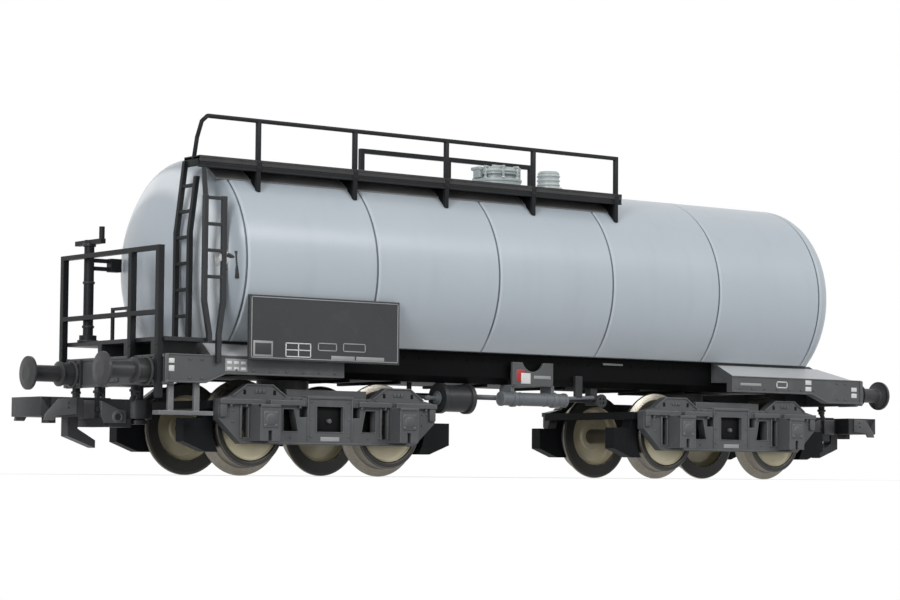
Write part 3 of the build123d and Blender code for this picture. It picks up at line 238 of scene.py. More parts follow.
def tank_paint():
    """Satin silver-grey paint: soft clouds, faint runs, a line of painted shade and a line of painted
    highlight per seam, a paler foot painted in for light from below, and a painted highlight and painted
    shade on the front head.
    """
    finish = Finish("tank_paint")
    cloud = finish.noise(9 * mm, 3)
    runs = finish.noise(1.4 * mm, 3, stretch=(1, 1, 14))
    grain = finish.noise(0.12 * mm, 2)
    tone = finish.mix(cloud, tint(170, 179, 187), tint(179, 188, 196))
    tone = finish.mix(finish.eased(runs, 0.5, 0.85) * 0.15, tone, tint(152, 160, 166))
    x = finish.along("X")
    shade_lines, seam_highlight_lines = 0, 0
    # Per seam, a dark line of painted shade and a light line of painted highlight beside it
    for place in seam_places:
        shade_lines = (x > (place - 0.2) * mm) * (x < (place + 0.04) * mm) + shade_lines
        seam_highlight_lines = (x > (place + 0.06) * mm) * (x < (place + 0.22) * mm) + seam_highlight_lines
    tone = finish.mix(shade_lines * 0.85, tone, tint(78, 87, 94))
    tone = finish.mix(seam_highlight_lines * 0.28, tone, tint(208, 216, 222))
    # On the front head's rolled edge, a painted highlight, and painted shade beside its weld
    painted_head_highlight = finish.eased(x, -31.9 * mm, -31.3 * mm) * finish.eased(x, -30.3 * mm, -30.8 * mm)
    painted_head_shade = finish.eased(x, -30.6 * mm, -30.1 * mm) * finish.eased(x, -29.0 * mm, -29.6 * mm)
    tone = finish.mix(painted_head_highlight * 0.6, tone, tint(236, 242, 246))
    tone = finish.mix(painted_head_shade * 0.6, tone, tint(118, 127, 134))
    # A paler foot: painted light from below on the tank's underside
    foot = finish.eased(finish.along("Z"), 11.5 * mm, 9.9 * mm)
    tone = finish.mix(foot * 0.5, tone, tint(196, 204, 208))
    rounded = finish.softened(0.1 * mm)
    return finish.shade(
        Base_Color=tone,
        Roughness=0.4 + 0.1 * (cloud - 0.5) + 0.08 * (grain - 0.5),
        Coat_Weight=0.3,
        Coat_Roughness=0.24,
        Specular_IOR_Level=0.3,
        Normal=finish.bump(grain, 0.003 * mm, rounded),
    )


def dome_plastic():
    """Pale cloudy plastic of the domes, lighter along its edges."""
    finish = Finish("dome_plastic")
    cloud = finish.noise(1.5 * mm, 4)
    rounded = finish.softened(0.12 * mm)
    edge = finish.edges(rounded)
    tone = finish.mix(cloud, tint(140, 150, 149), tint(182, 191, 190))
    tone = finish.mix(edge * 0.6, tone, tint(236, 241, 240))
    grain = finish.noise(0.15 * mm, 3)
    return finish.shade(
        Base_Color=tone, Roughness=0.24 + 0.14 * cloud, Coat_Weight=0.2, Specular_IOR_Level=0.3,
        Normal=finish.bump(grain, 0.006 * mm, rounded),
    )


def worn_metal(name, dark, light, roughness, metallic, ring_centre=None):
    """Metal with a fine brushed grain; with a centre, its turning marks ring that centre."""
    finish = Finish(name)
    cloud = finish.noise(2.2 * mm, 4)
    grain = finish.noise(0.1 * mm, 3, stretch=(6, 1, 1))
    if ring_centre:
        x = finish.along("X") - ring_centre[0] * mm
        z = finish.along("Z") - ring_centre[1] * mm
        radius = x.sum("SQRT", x * x + z * z, 0.0)
        ring_pitch = 0.09 * mm
        rings = finish.node("TexNoise", {"noise_dimensions": "1D"}, {"W": radius, "Scale": 1 / ring_pitch})
        grain = rings * 0.6 + grain * 0.4
    rounded = finish.softened(0.07 * mm)
    tone = finish.mix(cloud, dark, light)
    tone = finish.mix(finish.eased(grain, 0.45, 0.75) * 0.45, tone, light)
    tone = finish.mix(finish.edges(rounded) * 0.5, tone, tint(200, 198, 190))
    return finish.shade(
        Base_Color=tone, Metallic=metallic + 0.2 * (cloud - 0.5),
        Roughness=roughness + 0.2 * (grain - 0.5),
        Normal=finish.bump(grain, 0.008 * mm, rounded),
    )


finishes = {
    "tank_shell": tank_paint(),
    "dome_grey": dome_plastic(),
    "frame_grey": moulded("frame_plastic", 84, 2, 0.46, 0.4),
    "black_plastic": moulded("black_plastic", 44, 2, 0.4, 0.25),
    "board_black": moulded("board_plastic", 58, 2, 0.42, 0.3),
    "wheel_metal": worn_metal("wheel_steel", tint(96, 92, 80), tint(150, 145, 128), 0.42, 0.55),
    "axle_metal": worn_metal("axle_steel", tint(70, 68, 62), tint(128, 124, 112), 0.4, 0.6),
}
tread_black = moulded("tread_black", 40, 2, 0.44, 0.3, tread=True)
step_grey = moulded("step_plastic", 112, 2, 0.44, 0.4)
# End frames, with painted light on their sloped aprons
end_grey = moulded("end_plastic", 82, 2, 0.44, 0.4, paint_top_light=True)
rail_black = moulded("rail_plastic", 32, 2, 0.42, 0.1, gloss=0.15)
shoe_black = moulded("shoe_plastic", 20, 2, 0.55, 0.12, gloss=0.1)
# The sill's dark plastic, made near-black with painted shade for where it lies under the tank
sill_shade_black = moulded("sill_shade_plastic", 12, 1, 0.5, 0.1, gloss=0.05)
buffer_grey = moulded("buffer_plastic", 56, 1, 0.42, 0.4)
cheek_grey = moulded("cheek_plastic", 84, 1, 0.45, 0.4)
gear_grey = moulded("gear_plastic", 104, 4, 0.4, 0.4)
fascia_grey = moulded("fascia_plastic", 64, 0, 0.45, 0.3, gloss=0.2)
# The grey sheet on the tank that paints the shade under the walkway
shade_sheet_grey = moulded("shade_sheet_plastic", 118, 0, 0.5, 0.3, gloss=0.2)
# Near-black for painted shade: slots, the dark plates in the frames' holes, and the gussets darkened by it
painted_shade_black = moulded("painted_shade_black", 14, 1, 0.5, 0.1, gloss=0.1)
tyre_black = worn_metal("tyre_black", tint(34, 33, 31), tint(44, 43, 40), 0.42, 0.2)
tread_steel = worn_metal("tread_steel", tint(96, 92, 84), tint(150, 145, 134), 0.3, 0.85)
mark_white = moulded("mark_white", 214, 0, 0.5, 0.2)
mark_grey = moulded("mark_grey", 150, 1, 0.5, 0.2)
mark_red = worn_metal("mark_red", tint(140, 26, 28), tint(172, 40, 40), 0.5, 0.0)

slot_of = {part["node"]: part["material_slot"] for part in frame["record"]["subparts"]}
own_finish = {
    "walkway": tread_black,
    "far_ledge": tread_black,
    "platform_deck": tread_black,
    "foot_step_near": step_grey,
    "foot_step_far": step_grey,
    "centre_sill": sill_shade_black,
    "end_frame_front": end_grey,
    "end_frame_rear": end_grey,
    "brake_shoes_front": shoe_black,
    "brake_shoes_rear": shoe_black,
    "platform_railing": rail_black,
    "far_railing": rail_black,
    "end_ladder": rail_black,
    "brake_column": rail_black,
    "air_reservoir": gear_grey,
    **{node: buffer_grey for node in frame["nodes"] if node.startswith("buffer_")},
    "label_panel_near": finishes["frame_grey"],
    "label_panel_far": finishes["frame_grey"],
}
for node, shape in frame["nodes"].items():
    shape.data.materials.clear()
    shape.data.materials.append(own_finish.get(node, finishes[slot_of[node]]))


def only(piece):
    """Select this piece alone."""
    bpy.ops.object.select_all(action="DESELECT")
    piece.select_set(True)
    bpy.context.view_layer.objects.active = piece
    return piece


def settled():
    """The piece just added, with its place and size put into its mesh."""
    bpy.ops.object.transform_apply(location=True, rotation=True, scale=True)
    return bpy.context.object


def rounded(piece, width, segments=2):
    """Round the piece's sharp edges this far, in millimetres."""
    only(piece)
    rounding = piece.modifiers.new("rounding", "BEVEL")
    rounding.width = width * mm
    rounding.segments = segments
    rounding.limit_method = "ANGLE"
    rounding.angle_limit = radians(sharp_degrees)
    bpy.ops.object.modifier_apply(modifier=rounding.name)
    bpy.ops.object.shade_smooth_by_angle(angle=radians(sharp_degrees))
    return piece


def block(low, high, edge=plain_edge):
    """A block between two corners, with rounded edges."""
    low, high = Vector(low) * mm, Vector(high) * mm
    size = Vector([abs(reach) for reach in high - low])
    bpy.ops.mesh.primitive_cube_add(size=1, location=(low + high) / 2, scale=size)
    return rounded(settled(), edge)


def rod(start, end, radius, sides=14):
    """A round bar between two points, with rounded ends."""
    start, end = Vector(start) * mm, Vector(end) * mm
    run = end - start
    turn = run.to_track_quat("Z", "Y").to_euler()
    bpy.ops.mesh.primitive_cylinder_add(
        vertices=sides, radius=radius * mm, depth=run.length, location=(start + end) / 2, rotation=turn
    )
    return rounded(settled(), plain_edge)


def traced(points):
    """Start a mesh in edit mode whose points, in millimetres, are drawn out one from the last."""
    bpy.ops.mesh.primitive_plane_add(size=mm)
    bpy.ops.object.mode_set(mode="EDIT")
    bpy.ops.mesh.merge(type="CENTER")
    here = Vector((0, 0, 0))
    for index, point in enumerate(points):
        step = Vector(point) * mm - here
        if index:
            bpy.ops.mesh.extrude_region_move(TRANSFORM_OT_translate={"value": step})
        else:
            bpy.ops.transform.translate(value=step)
        here = Vector(point) * mm
    bpy.ops.mesh.select_all(action="SELECT")


def closed_up():
    """Leave edit mode with the seams merged and all faces pointing out."""
    bpy.ops.mesh.select_all(action="SELECT")
    bpy.ops.mesh.remove_doubles(threshold=0.001 * mm)
    bpy.ops.mesh.normals_make_consistent(inside=False)
    bpy.ops.object.mode_set(mode="OBJECT")
    return bpy.context.object


facing = {
    "Z": Matrix.Identity(4),
    "-Z": Matrix.Rotation(pi, 4, "X"),
    "X": Matrix.Rotation(pi / 2, 4, "Y"),
    "-X": Matrix.Rotation(-pi / 2, 4, "Y"),
    "Y": Matrix.Rotation(-pi / 2, 4, "X"),
    "-Y": Matrix.Rotation(pi / 2, 4, "X"),
}


def turned(profile, centre, axis, sides, sharp=sharp_degrees):
    """A turned piece: (along, radius) points spun round an axis through the centre."""
    traced([(radius, 0, along) for along, radius in profile])
    bpy.ops.mesh.spin(steps=sides, angle=2 * pi, center=(0, 0, 0), axis=(0, 0, 1))
    piece = closed_up()
    piece.data.transform(Matrix.Translation(Vector(centre) * mm) @ facing[axis])
    bpy.ops.object.shade_smooth_by_angle(angle=radians(sharp))
    return piece


def strip(points, start_y, end_y, thickness):
    """A thin band along points (x, z), as wide as the run between two places along Y."""
    traced([(x, start_y, z) for x, z in points])
    bpy.ops.mesh.extrude_region_move(TRANSFORM_OT_translate={"value": (0, (end_y - start_y) * mm, 0)})
    piece = closed_up()
    wall = only(piece).modifiers.new("wall", "SOLIDIFY")
    wall.thickness = thickness * mm
    wall.offset = 0
    bpy.ops.object.modifier_apply(modifier=wall.name)
    return rounded(piece, thin_edge, 1)


def plate(outline, start, end, axis="X"):
    """A flat plate square to X or Y, from its outline of (y, z) or (x, z) points."""
    traced([(start, side, z) if axis == "X" else (side, start, z) for side, z in outline])
    bpy.ops.mesh.edge_face_add()
    run = (end - start) * mm
    step = (run, 0, 0) if axis == "X" else (0, run, 0)
    bpy.ops.mesh.extrude_region_move(TRANSFORM_OT_translate={"value": step})
    return rounded(closed_up(), plain_edge)


def copied(piece, place):
    """A copy with its own mesh, moved or mirrored by a matrix."""
    twin = piece.copy()
    twin.data = piece.data.copy()
    twin.data.transform(place)
    if place.determinant() < 0:
        twin.data.flip_normals()
    bpy.context.collection.objects.link(twin)
    return twin


def moved(piece, x=0, y=0, z=0):
    """A copy moved this far, in millimetres."""
    return copied(piece, Matrix.Translation(Vector((x, y, z)) * mm))


def mirrored(pieces):
    """The pieces and their mirror images on the car's other side."""
    return pieces + [copied(piece, Matrix.Diagonal((1, -1, 1, 1))) for piece in pieces]


def painted(piece, finish):
    """The piece with this finish alone."""
    piece.data.materials.clear()
    piece.data.materials.append(finish)
    return piece


def fitted(name, pieces, body, finish=None, nodes=()):
    """Join pieces into one named piece that rides on a body, and may stand for CAD nodes."""
    for piece in pieces:
        if finish and not piece.data.materials:
            painted(piece, finish)
    only(pieces[0])
    for piece in pieces[1:]:
        piece.select_set(True)
    if len(pieces) > 1:
        bpy.ops.object.join()
    whole = bpy.context.object
    whole.name = name
    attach(whole, body)
    if nodes:
        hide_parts(*nodes)
    return whole


def rivet(axis, radius, height):
    """A round rivet head that stands on a face at the origin."""
    profile = ((-0.03, radius), (height * 0.35, radius), (height * 0.85, radius * 0.6), (height, 0))
    return turned(profile, (0, 0, 0), axis, 10, 60)


def nut(axis, radius, height):
    """A six-sided nut at the origin, on its washer and with the bolt's end in it."""
    profile = (
        (-0.02, radius * 1.35), (height * 0.25, radius * 1.35), (height * 0.25, radius),
        (height * 0.85, radius), (height, radius * 0.8), (height, radius * 0.5),
        (height * 1.3, radius * 0.4), (height * 1.3, 0),
    )
    return turned(profile, (0, 0, 0), axis, 6, 20)


def rows(first, places):
    """Copies at these places of one piece modelled at the origin, which goes."""
    made = [moved(first, *place) for place in places]
    bpy.data.objects.remove(first)
    return made


def ring(count, radius):
    """Places at even steps round a circle, as pairs."""
    turns = [2 * pi * step / count for step in range(count)]
    return [(radius * cos(turn), radius * sin(turn)) for turn in turns]


# Wheels: dark tyres with bright treads, and olive discs with a raised hub
wheel_section = (
    # place along the axle, radius
    (4.3, 0.62), (4.3, 1.0), (4.42, 1.15), (4.45, 2.1), (4.3, 2.32), (3.8, 2.42), (3.7, 2.5), (3.7, 3.35),
    (3.78, 3.5), (3.9, 3.55), (4.02, 3.5), (4.12, 3.25), (4.25, 3.02), (4.4, 2.96), (5.2, 2.93), (5.3, 2.86),
    (5.3, 2.56), (5.22, 2.42), (5.08, 2.3), (5.0, 1.6), (5.0, 1.2), (5.14, 1.05), (5.14, 0.62), (4.3, 0.62),
)
collar_section = (
    (-0.9, 0.6), (-0.9, 0.74), (-0.6, 0.74), (-0.5, 0.66), (0.5, 0.66), (0.6, 0.74), (0.9, 0.74), (0.9, 0.6),
    (-0.9, 0.6),
)
rim_radius = 2.44 * mm
tread_start_y, tread_end_y = 3.75 * mm, 5.21 * mm
for number, place_x in enumerate(wheel_places, 1):
    disc = worn_metal(
        f"wheel_disc_{number}", tint(190, 181, 150), tint(222, 214, 186), 0.4, 0.1, (place_x, axle_z)
    )
    wheel = turned(wheel_section, (0, 0, 0), "Y", 72, 26)
    for finish in (disc, tyre_black, tread_steel):
        wheel.data.materials.append(finish)
    for face in wheel.data.polygons:
        radius = (face.center.x**2 + face.center.z**2) ** 0.5
        if radius > rim_radius:
            face.material_index = 2 if tread_start_y < face.center.y < tread_end_y else 1
    wheel.data.transform(Matrix.Translation(Vector((place_x, 0, axle_z)) * mm))
    fitted(f"wheel_pair_{number}", mirrored([wheel]), f"wheelset_{number}",
           nodes=[f"wheels_{number}"])
    collar = turned(collar_section, (place_x, 0, axle_z), "Y", 24)
    fitted(f"axle_collar_{number}", [collar], f"wheelset_{number}", finishes["axle_metal"])


def arch_band(axle):
    """The bent cap along the arch over an axle, its slots in painted shade, and its nubs."""
    pieces = [strip(
        ((axle - 2.35, 5.8), (axle - 1.12, 6.64), (axle + 1.12, 6.64), (axle + 2.35, 5.8)),
        -frame_face_y - 0.1, -frame_face_y + 0.6, 0.12,
    )]
    # Slots as near-black patches: painted shade
    for slot_x in (axle - 1.42, axle + 1.18):
        pieces.append(painted(block(
            (slot_x, -frame_face_y - 0.02, 5.92), (slot_x + 0.24, -frame_face_y + sunk, 6.26), mark_edge
        ), painted_shade_black))
    for nub_x in (axle - 0.42, axle - 0.1, axle + 0.22):
        pieces.append(block(
            (nub_x, -frame_face_y - 0.09, 6.02), (nub_x + 0.22, -frame_face_y + sunk, 6.28), slim_edge
        ))
    return pieces


def axlebox_cover(axle):
    """The cover on an axlebox with its four nuts, the lip above it, and the guides beside it."""
    pieces = [
        block((axle - 0.62, -box_face_y - 0.07, 3.5), (axle + 0.62, -box_face_y + sunk, 4.72), stout_edge),
        block((axle - 0.85, -box_face_y - 0.08, 4.98), (axle + 0.85, -box_face_y + 0.3, 5.2)),
        turned(((0, 0.42), (0.08, 0.4), (0.12, 0.3), (0.12, 0)), (axle, -box_face_y - 0.06, 4.1), "-Y", 20),
    ]
    for guide_x in (axle - 1.7, axle - 1.02, axle + 0.86, axle + 1.55):
        pieces.append(block(
            (guide_x, -frame_face_y - 0.12, 2.72), (guide_x + 0.15, -frame_face_y + 0.3, 5.2), slim_edge
        ))
    corners = [(axle + x, -box_face_y - 0.06, z) for x in (-0.46, 0.46) for z in (3.66, 4.56)]
    return pieces + rows(rivet("-Y", 0.09, 0.08), corners)


def frame_dressing():
    """What stands on one side frame of a bogie, near side, told from the bogie's centre."""
    pieces = []
    for axle in (-axle_reach, axle_reach):
        pieces += arch_band(axle) + axlebox_cover(axle)
    # Rims of the window and of the holes beside it
    for rim, proud in (
        (((-1.22, 3.27), (1.22, 3.27), (1.22, 5.2), (-1.22, 5.2), (-1.22, 3.27)), 0.06),
        (((2.85, 3.28), (4.2, 3.28), (4.2, 4.95), (3.2, 4.95), (2.85, 3.28)), 0.05),
        (((-2.85, 3.28), (-4.2, 3.28), (-4.2, 4.95), (-3.2, 4.95), (-2.85, 3.28)), 0.05),
    ):
        pieces.append(strip(rim, -frame_face_y - proud, -frame_face_y + 0.3, 0.09))
    # Ribs of the frame's foot and of its centre plate
    pieces.append(block((-7.7, -frame_face_y - 0.07, 2.34), (7.7, -frame_face_y + sunk, 2.47), slim_edge))
    for rib_x in (-2.05, 1.93):
        pieces.append(block(
            (rib_x, -frame_face_y - 0.08, 2.6), (rib_x + 0.12, -frame_face_y + sunk, 5.9), slim_edge
        ))
    pieces.append(block((-2.05, -frame_face_y - 0.1, 5.72), (2.05, -frame_face_y + sunk, 5.9), slim_edge))
    for bracket_x in (-9.7, 9.15):
        pieces.append(block(
            (bracket_x, -frame_face_y - 0.22, 4.25), (bracket_x + 0.55, -frame_face_y + sunk, 5.3), stout_edge
        ))
    # Gussets under the ledges, from the frame's face to the ledge's edge
    for ledge_x in (2.7, 4.9, 7.35, 8.7, -2.88, -5.08, -7.53, -8.88):
        pieces.append(block(
            (ledge_x, -frame_face_y - 0.24, 4.98), (ledge_x + 0.18, -frame_face_y + sunk, 5.24)
        ))
    spots = [(x, -frame_face_y, z) for x in (-1.7, 1.7) for z in (2.95, 4.2, 5.5)]
    spots += [(x, -frame_face_y, 2.85) for x in (-4.45, -3.5, 3.5, 4.45)]
    spots += [(side * x, -frame_face_y, 5.72) for side in (-1, 1) for x in (2.6, 3.4, 4.2)]
    spots += [
        (side * x, -frame_face_y, z) for side in (-1, 1) for x, z in ((8.55, 3.9), (8.55, 4.75), (9.0, 4.75))
    ]
    pieces += rows(rivet("-Y", 0.1, 0.07), spots)
    # Dark plates behind the window and the holes beside it, painted shade that hides the wheels there, and
    # the nub that shows in the window
    for start_x, end_x, depth in ((-1.3, 1.3, 0.35), (2.8, 4.3, 0.9), (-4.3, -2.8, 0.9)):
        shade_plate_y = frame_face_y - depth
        pieces.append(painted(
            block((start_x, -shade_plate_y, 3.2), (end_x, 0.1 - shade_plate_y, 5.25), thin_edge), painted_shade_black
        ))
    pieces.append(rod((0.1, 0.4 - frame_face_y, 4.1), (0.1, 0.12 - frame_face_y, 4.1), 0.17))
    # A plain pale plate under the window
    pieces.append(painted(block(
        (-0.85, -frame_face_y - 0.05, 2.58), (0.85, -frame_face_y + 0.05, 2.92), thin_edge
    ), mark_grey))
    return pieces


dressing = mirrored(frame_dressing())
# What shows through the windows and under the frame: spring caps, cross pins and pull rods
gear = mirrored([
    turned(((0, 0.5), (0.2, 0.5), (0.26, 0.34), (0.42, 0.3), (0.46, 0)), (0, -2.6, 4.1), "-Y", 20),
    block((-2.2, -2.75, 4.9), (2.2, -2.55, 5.25), stout_edge),
    rod((-2.25, -1.9, 3.2), (2.25, -1.9, 3.2), 0.2),
])
for body, place_x in bogie_places.items():
    fitted(f"{body}_dressing", [moved(piece, place_x) for piece in dressing], body,
           finishes["frame_grey"])
    fitted(f"{body}_bolster_gear", [moved(piece, place_x) for piece in gear], body,
           finishes["axle_metal"])
for piece in dressing + gear:
    bpy.data.objects.remove(piece)

# Soles: a flange strip along the lower edge, a bead where the apron starts, and rivets
sole_start_x = 19.85
for end, taper_end, taper_start in ((-1, 3.4, 5.1), (1, 4.3, 6.2)):
    flange = [
        (end * sole_start_x, 7.36), (end * (beam_x - taper_start), 7.36),
        (end * (beam_x - taper_end), 6.66), (end * (beam_x - 0.1), 6.66),
    ]
    bead = [(end * sole_start_x, 8.6), (end * (beam_x - 0.1), 8.6)]
    pieces = [
        strip(flange, -sole_face_y - 0.12, -sole_face_y + sunk, 0.12),
        strip(bead, -sole_face_y - 0.06, -sole_face_y + sunk, 0.1),
    ]
    spots = [(end * (20.6 + 1.45 * index), -sole_face_y - 0.03, 7.62) for index in range(7)]
    spots += [(end * x, -sole_face_y - 0.03, z) for x in (32.2, 33.2) for z in (6.95, 8.3)]
    pieces += rows(rivet("-Y", 0.09, 0.07), spots)
    # The buffer beam's end posts, and its upper and lower flange
    pieces.append(block(
        (end * (beam_x - 0.3), -sole_face_y - 0.1, 6.5), (end * beam_x, -sole_face_y + sunk, 8.6)
    ))
    pieces = mirrored(pieces)
    lip_x, root_x = end * (beam_x + 0.08), end * (beam_x - 0.2)
    for low_z, high_z in ((8.38, 8.6), (6.46, 6.62)):
        pieces.append(block((lip_x, -7.25, low_z), (root_x, 7.25, high_z), slim_edge))
    # The draw hook's plate between the buffers, with its nuts and its slot in painted shade
    pieces.append(block((end * (beam_x - 0.1), -0.85, 6.75), (end * (beam_x + 0.14), 0.85, 8.2)))
    pieces.append(painted(
        block((end * (beam_x + 0.1), -0.3, 7.1), (end * (beam_x + 0.16), 0.3, 7.85), thin_edge), painted_shade_black
    ))
    spots = [(end * (beam_x + 0.13), y, z) for y in (-0.6, 0.6) for z in (7.0, 7.95)]
    pieces += rows(nut("X" if end > 0 else "-X", 0.1, 0.1), spots)
    name = "front" if end < 0 else "rear"
    fitted(f"sole_trim_{name}", pieces, "car", finishes["frame_grey"])


def mark(x0, x1, z0, z1, face=sole_face_y, finish=mark_white, proud=0.03):
    """A plain painted oblong on a face of the near side."""
    return painted(block((x0, -face - proud, z0), (x1, -face + 0.05, z1), mark_edge), finish)


def empty_frame(x0, x1, z0, z1, face=sole_face_y, width=0.1, finish=mark_white):
    """A painted border with nothing in it."""
    return [
        mark(x0, x1, z0, z0 + width, face, finish), mark(x0, x1, z1 - width, z1, face, finish),
        mark(x0, x0 + width, z0, z1, face, finish), mark(x1 - width, x1, z0, z1, face, finish),
    ]


# Marks on the soles: plain oblongs, an empty frame and bars
pieces = [mark(-35.13, -34.5, 7.96, 8.31), mark(-35.13, -34.5, 7.38, 7.8)]
pieces += [mark(-30.25, -28.36, 7.5, 8.42, finish=mark_grey)]
pieces += [mark(x, x + 0.4, z, z + 0.2, proud=0.045) for x in (-30.1, -29.5, -28.9) for z in (7.62, 8.05)]
pieces += [mark(20.7, 23.1, 7.85, 8.08, finish=mark_grey)]
pieces += empty_frame(24.9, 26.2, 7.74, 8.32)
pieces += [mark(28.35, 29.05, 8.1, 8.5), mark(28.35, 29.05, 7.56, 7.95)]
pieces += [mark(33.95, 34.6, 7.66, 8.02), mark(33.95, 34.6, 7.12, 7.5)]
fitted("sole_marks", mirrored(pieces), "car")

# Number boards: a thin pale border, plain boxes and bars, with nothing written on them
low_x, high_x, low_z, high_z, inset = -28.75, -15.4, 8.4, 13.1, 0.12
pieces = empty_frame(
    low_x + inset, high_x - inset, low_z + inset, high_z - inset, board_face_y, 0.07, mark_grey
)
pieces += [mark(-28.45, -26.75, 8.62, 9.78, board_face_y, mark_grey)]
pieces += [mark(-28.3, -26.9, 8.78, 9.62, board_face_y, finishes["board_black"], 0.04)]
pieces += empty_frame(-25.65, -23.4, 8.66, 9.72, board_face_y, 0.08)
pieces += [mark(-24.55, -24.47, 8.7, 9.7, board_face_y), mark(-25.6, -23.45, 9.15, 9.23, board_face_y)]
pieces += empty_frame(-22.8, -21.1, 9.2, 9.8, board_face_y, 0.08, mark_grey)
pieces += empty_frame(-20.55, -18.5, 9.2, 9.85, board_face_y, 0.08, mark_grey)
pieces += [mark(-21.6, -19.5, 8.6, 8.88, board_face_y, mark_grey)]
pieces += [mark(-19.35, -16.8, 8.6, 8.88, board_face_y, mark_grey)]
fitted("board_marks", mirrored(pieces), "car")

# Small side panels: a red and a pale patch, a plain bar, and their rivets
pieces = [
    mark(-1.75, -0.95, 7.62, 8.55, panel_face_y, mark_red),
    mark(-1.3, -0.35, 7.45, 8.3, panel_face_y, mark_white, 0.045),
    mark(0.0, 1.75, 7.86, 8.12, panel_face_y, mark_grey),
]
spots = [(x, -panel_face_y, z) for x in (-1.98, 1.84) for z in (7.4, 9.0)]
pieces += [painted(piece, finishes["frame_grey"]) for piece in rows(rivet("-Y", 0.08, 0.06), spots)]
fitted("panel_patches", mirrored(pieces), "car")

# Sill, in dark plastic made near-black by painted shade: rivets along its foot, a light strip, and the cross
# ties under it
spots = [(-18.6 + 1.55 * index, -sill_face_y, 9.15) for index in range(25)]
pieces = rows(rivet("-Y", 0.09, 0.06), spots)
pieces.append(mark(7.75, 9.9, 9.22, 9.38, sill_face_y, mark_grey))
pieces.append(block((-19.7, -sill_face_y - 0.07, 9.5), (19.7, -sill_face_y + sunk, 9.66), slim_edge))
pieces = mirrored(pieces)
for tie_x in (-17.2, -12.4, -3.9, 4.1, 12.2, 17.2):
    pieces.append(block((tie_x - 0.18, -4.1, 7.14), (tie_x + 0.18, 4.1, 7.4), stout_edge))
fitted("sill_trim", pieces, "car", sill_shade_black)

# Buffers: base plates with nuts, rings on the sleeves, and a crowned head
pieces = []
for end in (-1, 1):
    face = "X" if end > 0 else "-X"
    buffer = [turned(profile, (end * beam_x, -buffer_y, buffer_z), face, 28) for profile in (
        ((0.28, 0.9), (0.28, 1.02), (0.42, 1.02), (0.5, 0.9)),
        ((1.3, 0.84), (1.34, 0.94), (1.5, 0.94), (1.56, 0.84), (1.6, 0.6)),
        ((3.5, 0.6), (3.62, 0.66), (3.74, 0.9), (3.8, 1.12)),
    )]
    corners = [(end * (beam_x + 0.25), -buffer_y + y, buffer_z + z) for y in (-0.8, 0.8) for z in (-0.8, 0.8)]
    buffer += rows(nut(face, 0.13, 0.12), corners)
    pieces += mirrored(buffer)
fitted("buffer_fittings", pieces, "car", buffer_grey)

# Hoses under both beams, and on the platform the column's collars and the bolts of the railing's feet
pieces = []
hose_x, column_x, column_y = 35.0, -34.75, 4.76
for end, hose_y in ((-1, 5.97), (-1, 2.65), (-1, -2.65), (1, 2.65), (1, -2.65)):
    pieces += [
        rod((end * hose_x, hose_y, 6.5), (end * hose_x, hose_y, 5.75), 0.28),
        rod((end * hose_x, hose_y, 6.2), (end * hose_x, hose_y, 6.0), 0.38),
        rod((end * hose_x, hose_y, 5.8), (end * (hose_x + 0.25), hose_y, 5.3), 0.2),
    ]
for low_z, high_z, radius in ((9.84, 10.0, 0.8), (10.9, 11.1, 0.46), (14.2, 14.4, 0.46), (17.0, 17.25, 0.5)):
    pieces.append(rod((column_x, column_y, low_z), (column_x, column_y, high_z), radius, 20))
spots = [(-35.76, y, z) for y in (-6.85, -3.0, 7.07) for z in (8.55, 9.3)]
pieces += rows(rivet("-X", 0.1, 0.07), spots)
fitted("platform_fittings", pieces, "car", finishes["black_plastic"])

# The cock on the tank's near shoulder, with its handle
cock_profile = (
    (0, 0.72), (0.14, 0.72), (0.2, 0.45), (0.34, 0.42), (0.44, 0.55), (0.62, 0.5), (0.72, 0.2), (0.74, 0),
)
pieces = [painted(turned(cock_profile, (-30.35, -6.85, 15.7), "-Y", 24), mark_white)]
for start, stop, radius in (
    ((-30.35, -7.55, 15.9), (-29.75, -7.72, 15.7), 0.16),
    ((-29.75, -7.74, 16.2), (-29.65, -7.8, 14.2), 0.18),
    ((-30.35, -7.3, 14.9), (-29.7, -7.75, 14.6), 0.12),
):
    pieces.append(painted(rod(start, stop, radius), finishes["black_plastic"]))
fitted("tank_cock", pieces, "car")

# Manhole: a flange, rings and a crown on the lid, a handle, a hinge, and clamps round it
clamp_count = 8
pieces = [
    turned(((24.0, 1.62), (24.0, 1.98), (24.06, 2.04), (24.2, 2.04), (24.26, 1.98), (24.26, 1.62)),
           (manhole_x, 0, 0), "Z", 48),
    turned(((24.78, 1.84), (24.82, 1.94), (24.95, 1.94), (25.0, 1.84)), (manhole_x, 0, 0), "Z", 48),
    turned(((25.16, 1.1), (25.24, 1.02), (25.3, 0.7), (25.3, 0)), (manhole_x, 0, 0), "Z", 32),
    rod((manhole_x - 0.5, 0, 25.42), (manhole_x + 0.5, 0, 25.42), 0.09),
    rod((manhole_x - 0.45, 0, 25.2), (manhole_x - 0.45, 0, 25.45), 0.08),
    rod((manhole_x + 0.45, 0, 25.2), (manhole_x + 0.45, 0, 25.45), 0.08),
    block((manhole_x - 2.15, -0.42, 24.3), (manhole_x - 1.75, 0.42, 25.1), 0.06),
    rod((manhole_x - 2.1, -0.6, 25.05), (manhole_x - 2.1, 0.6, 25.05), 0.17),
]
clamp = [
    block((1.7, -0.16, 24.2), (2.08, 0.16, 24.34)),
    block((1.82, -0.1, 24.3), (2.0, 0.1, 25.2)),
    block((1.55, -0.15, 25.1), (2.02, 0.15, 25.28), stout_edge),
]
for number in range(clamp_count):
    turn = Matrix.Rotation(2 * pi * (number + 0.5) / clamp_count, 4, "Z")
    pieces += [copied(piece, Matrix.Translation((manhole_x * mm, 0, 0)) @ turn) for piece in clamp]
for piece in clamp:
    bpy.data.objects.remove(piece)
fitted("manhole_fittings", pieces, "car", finishes["dome_grey"])

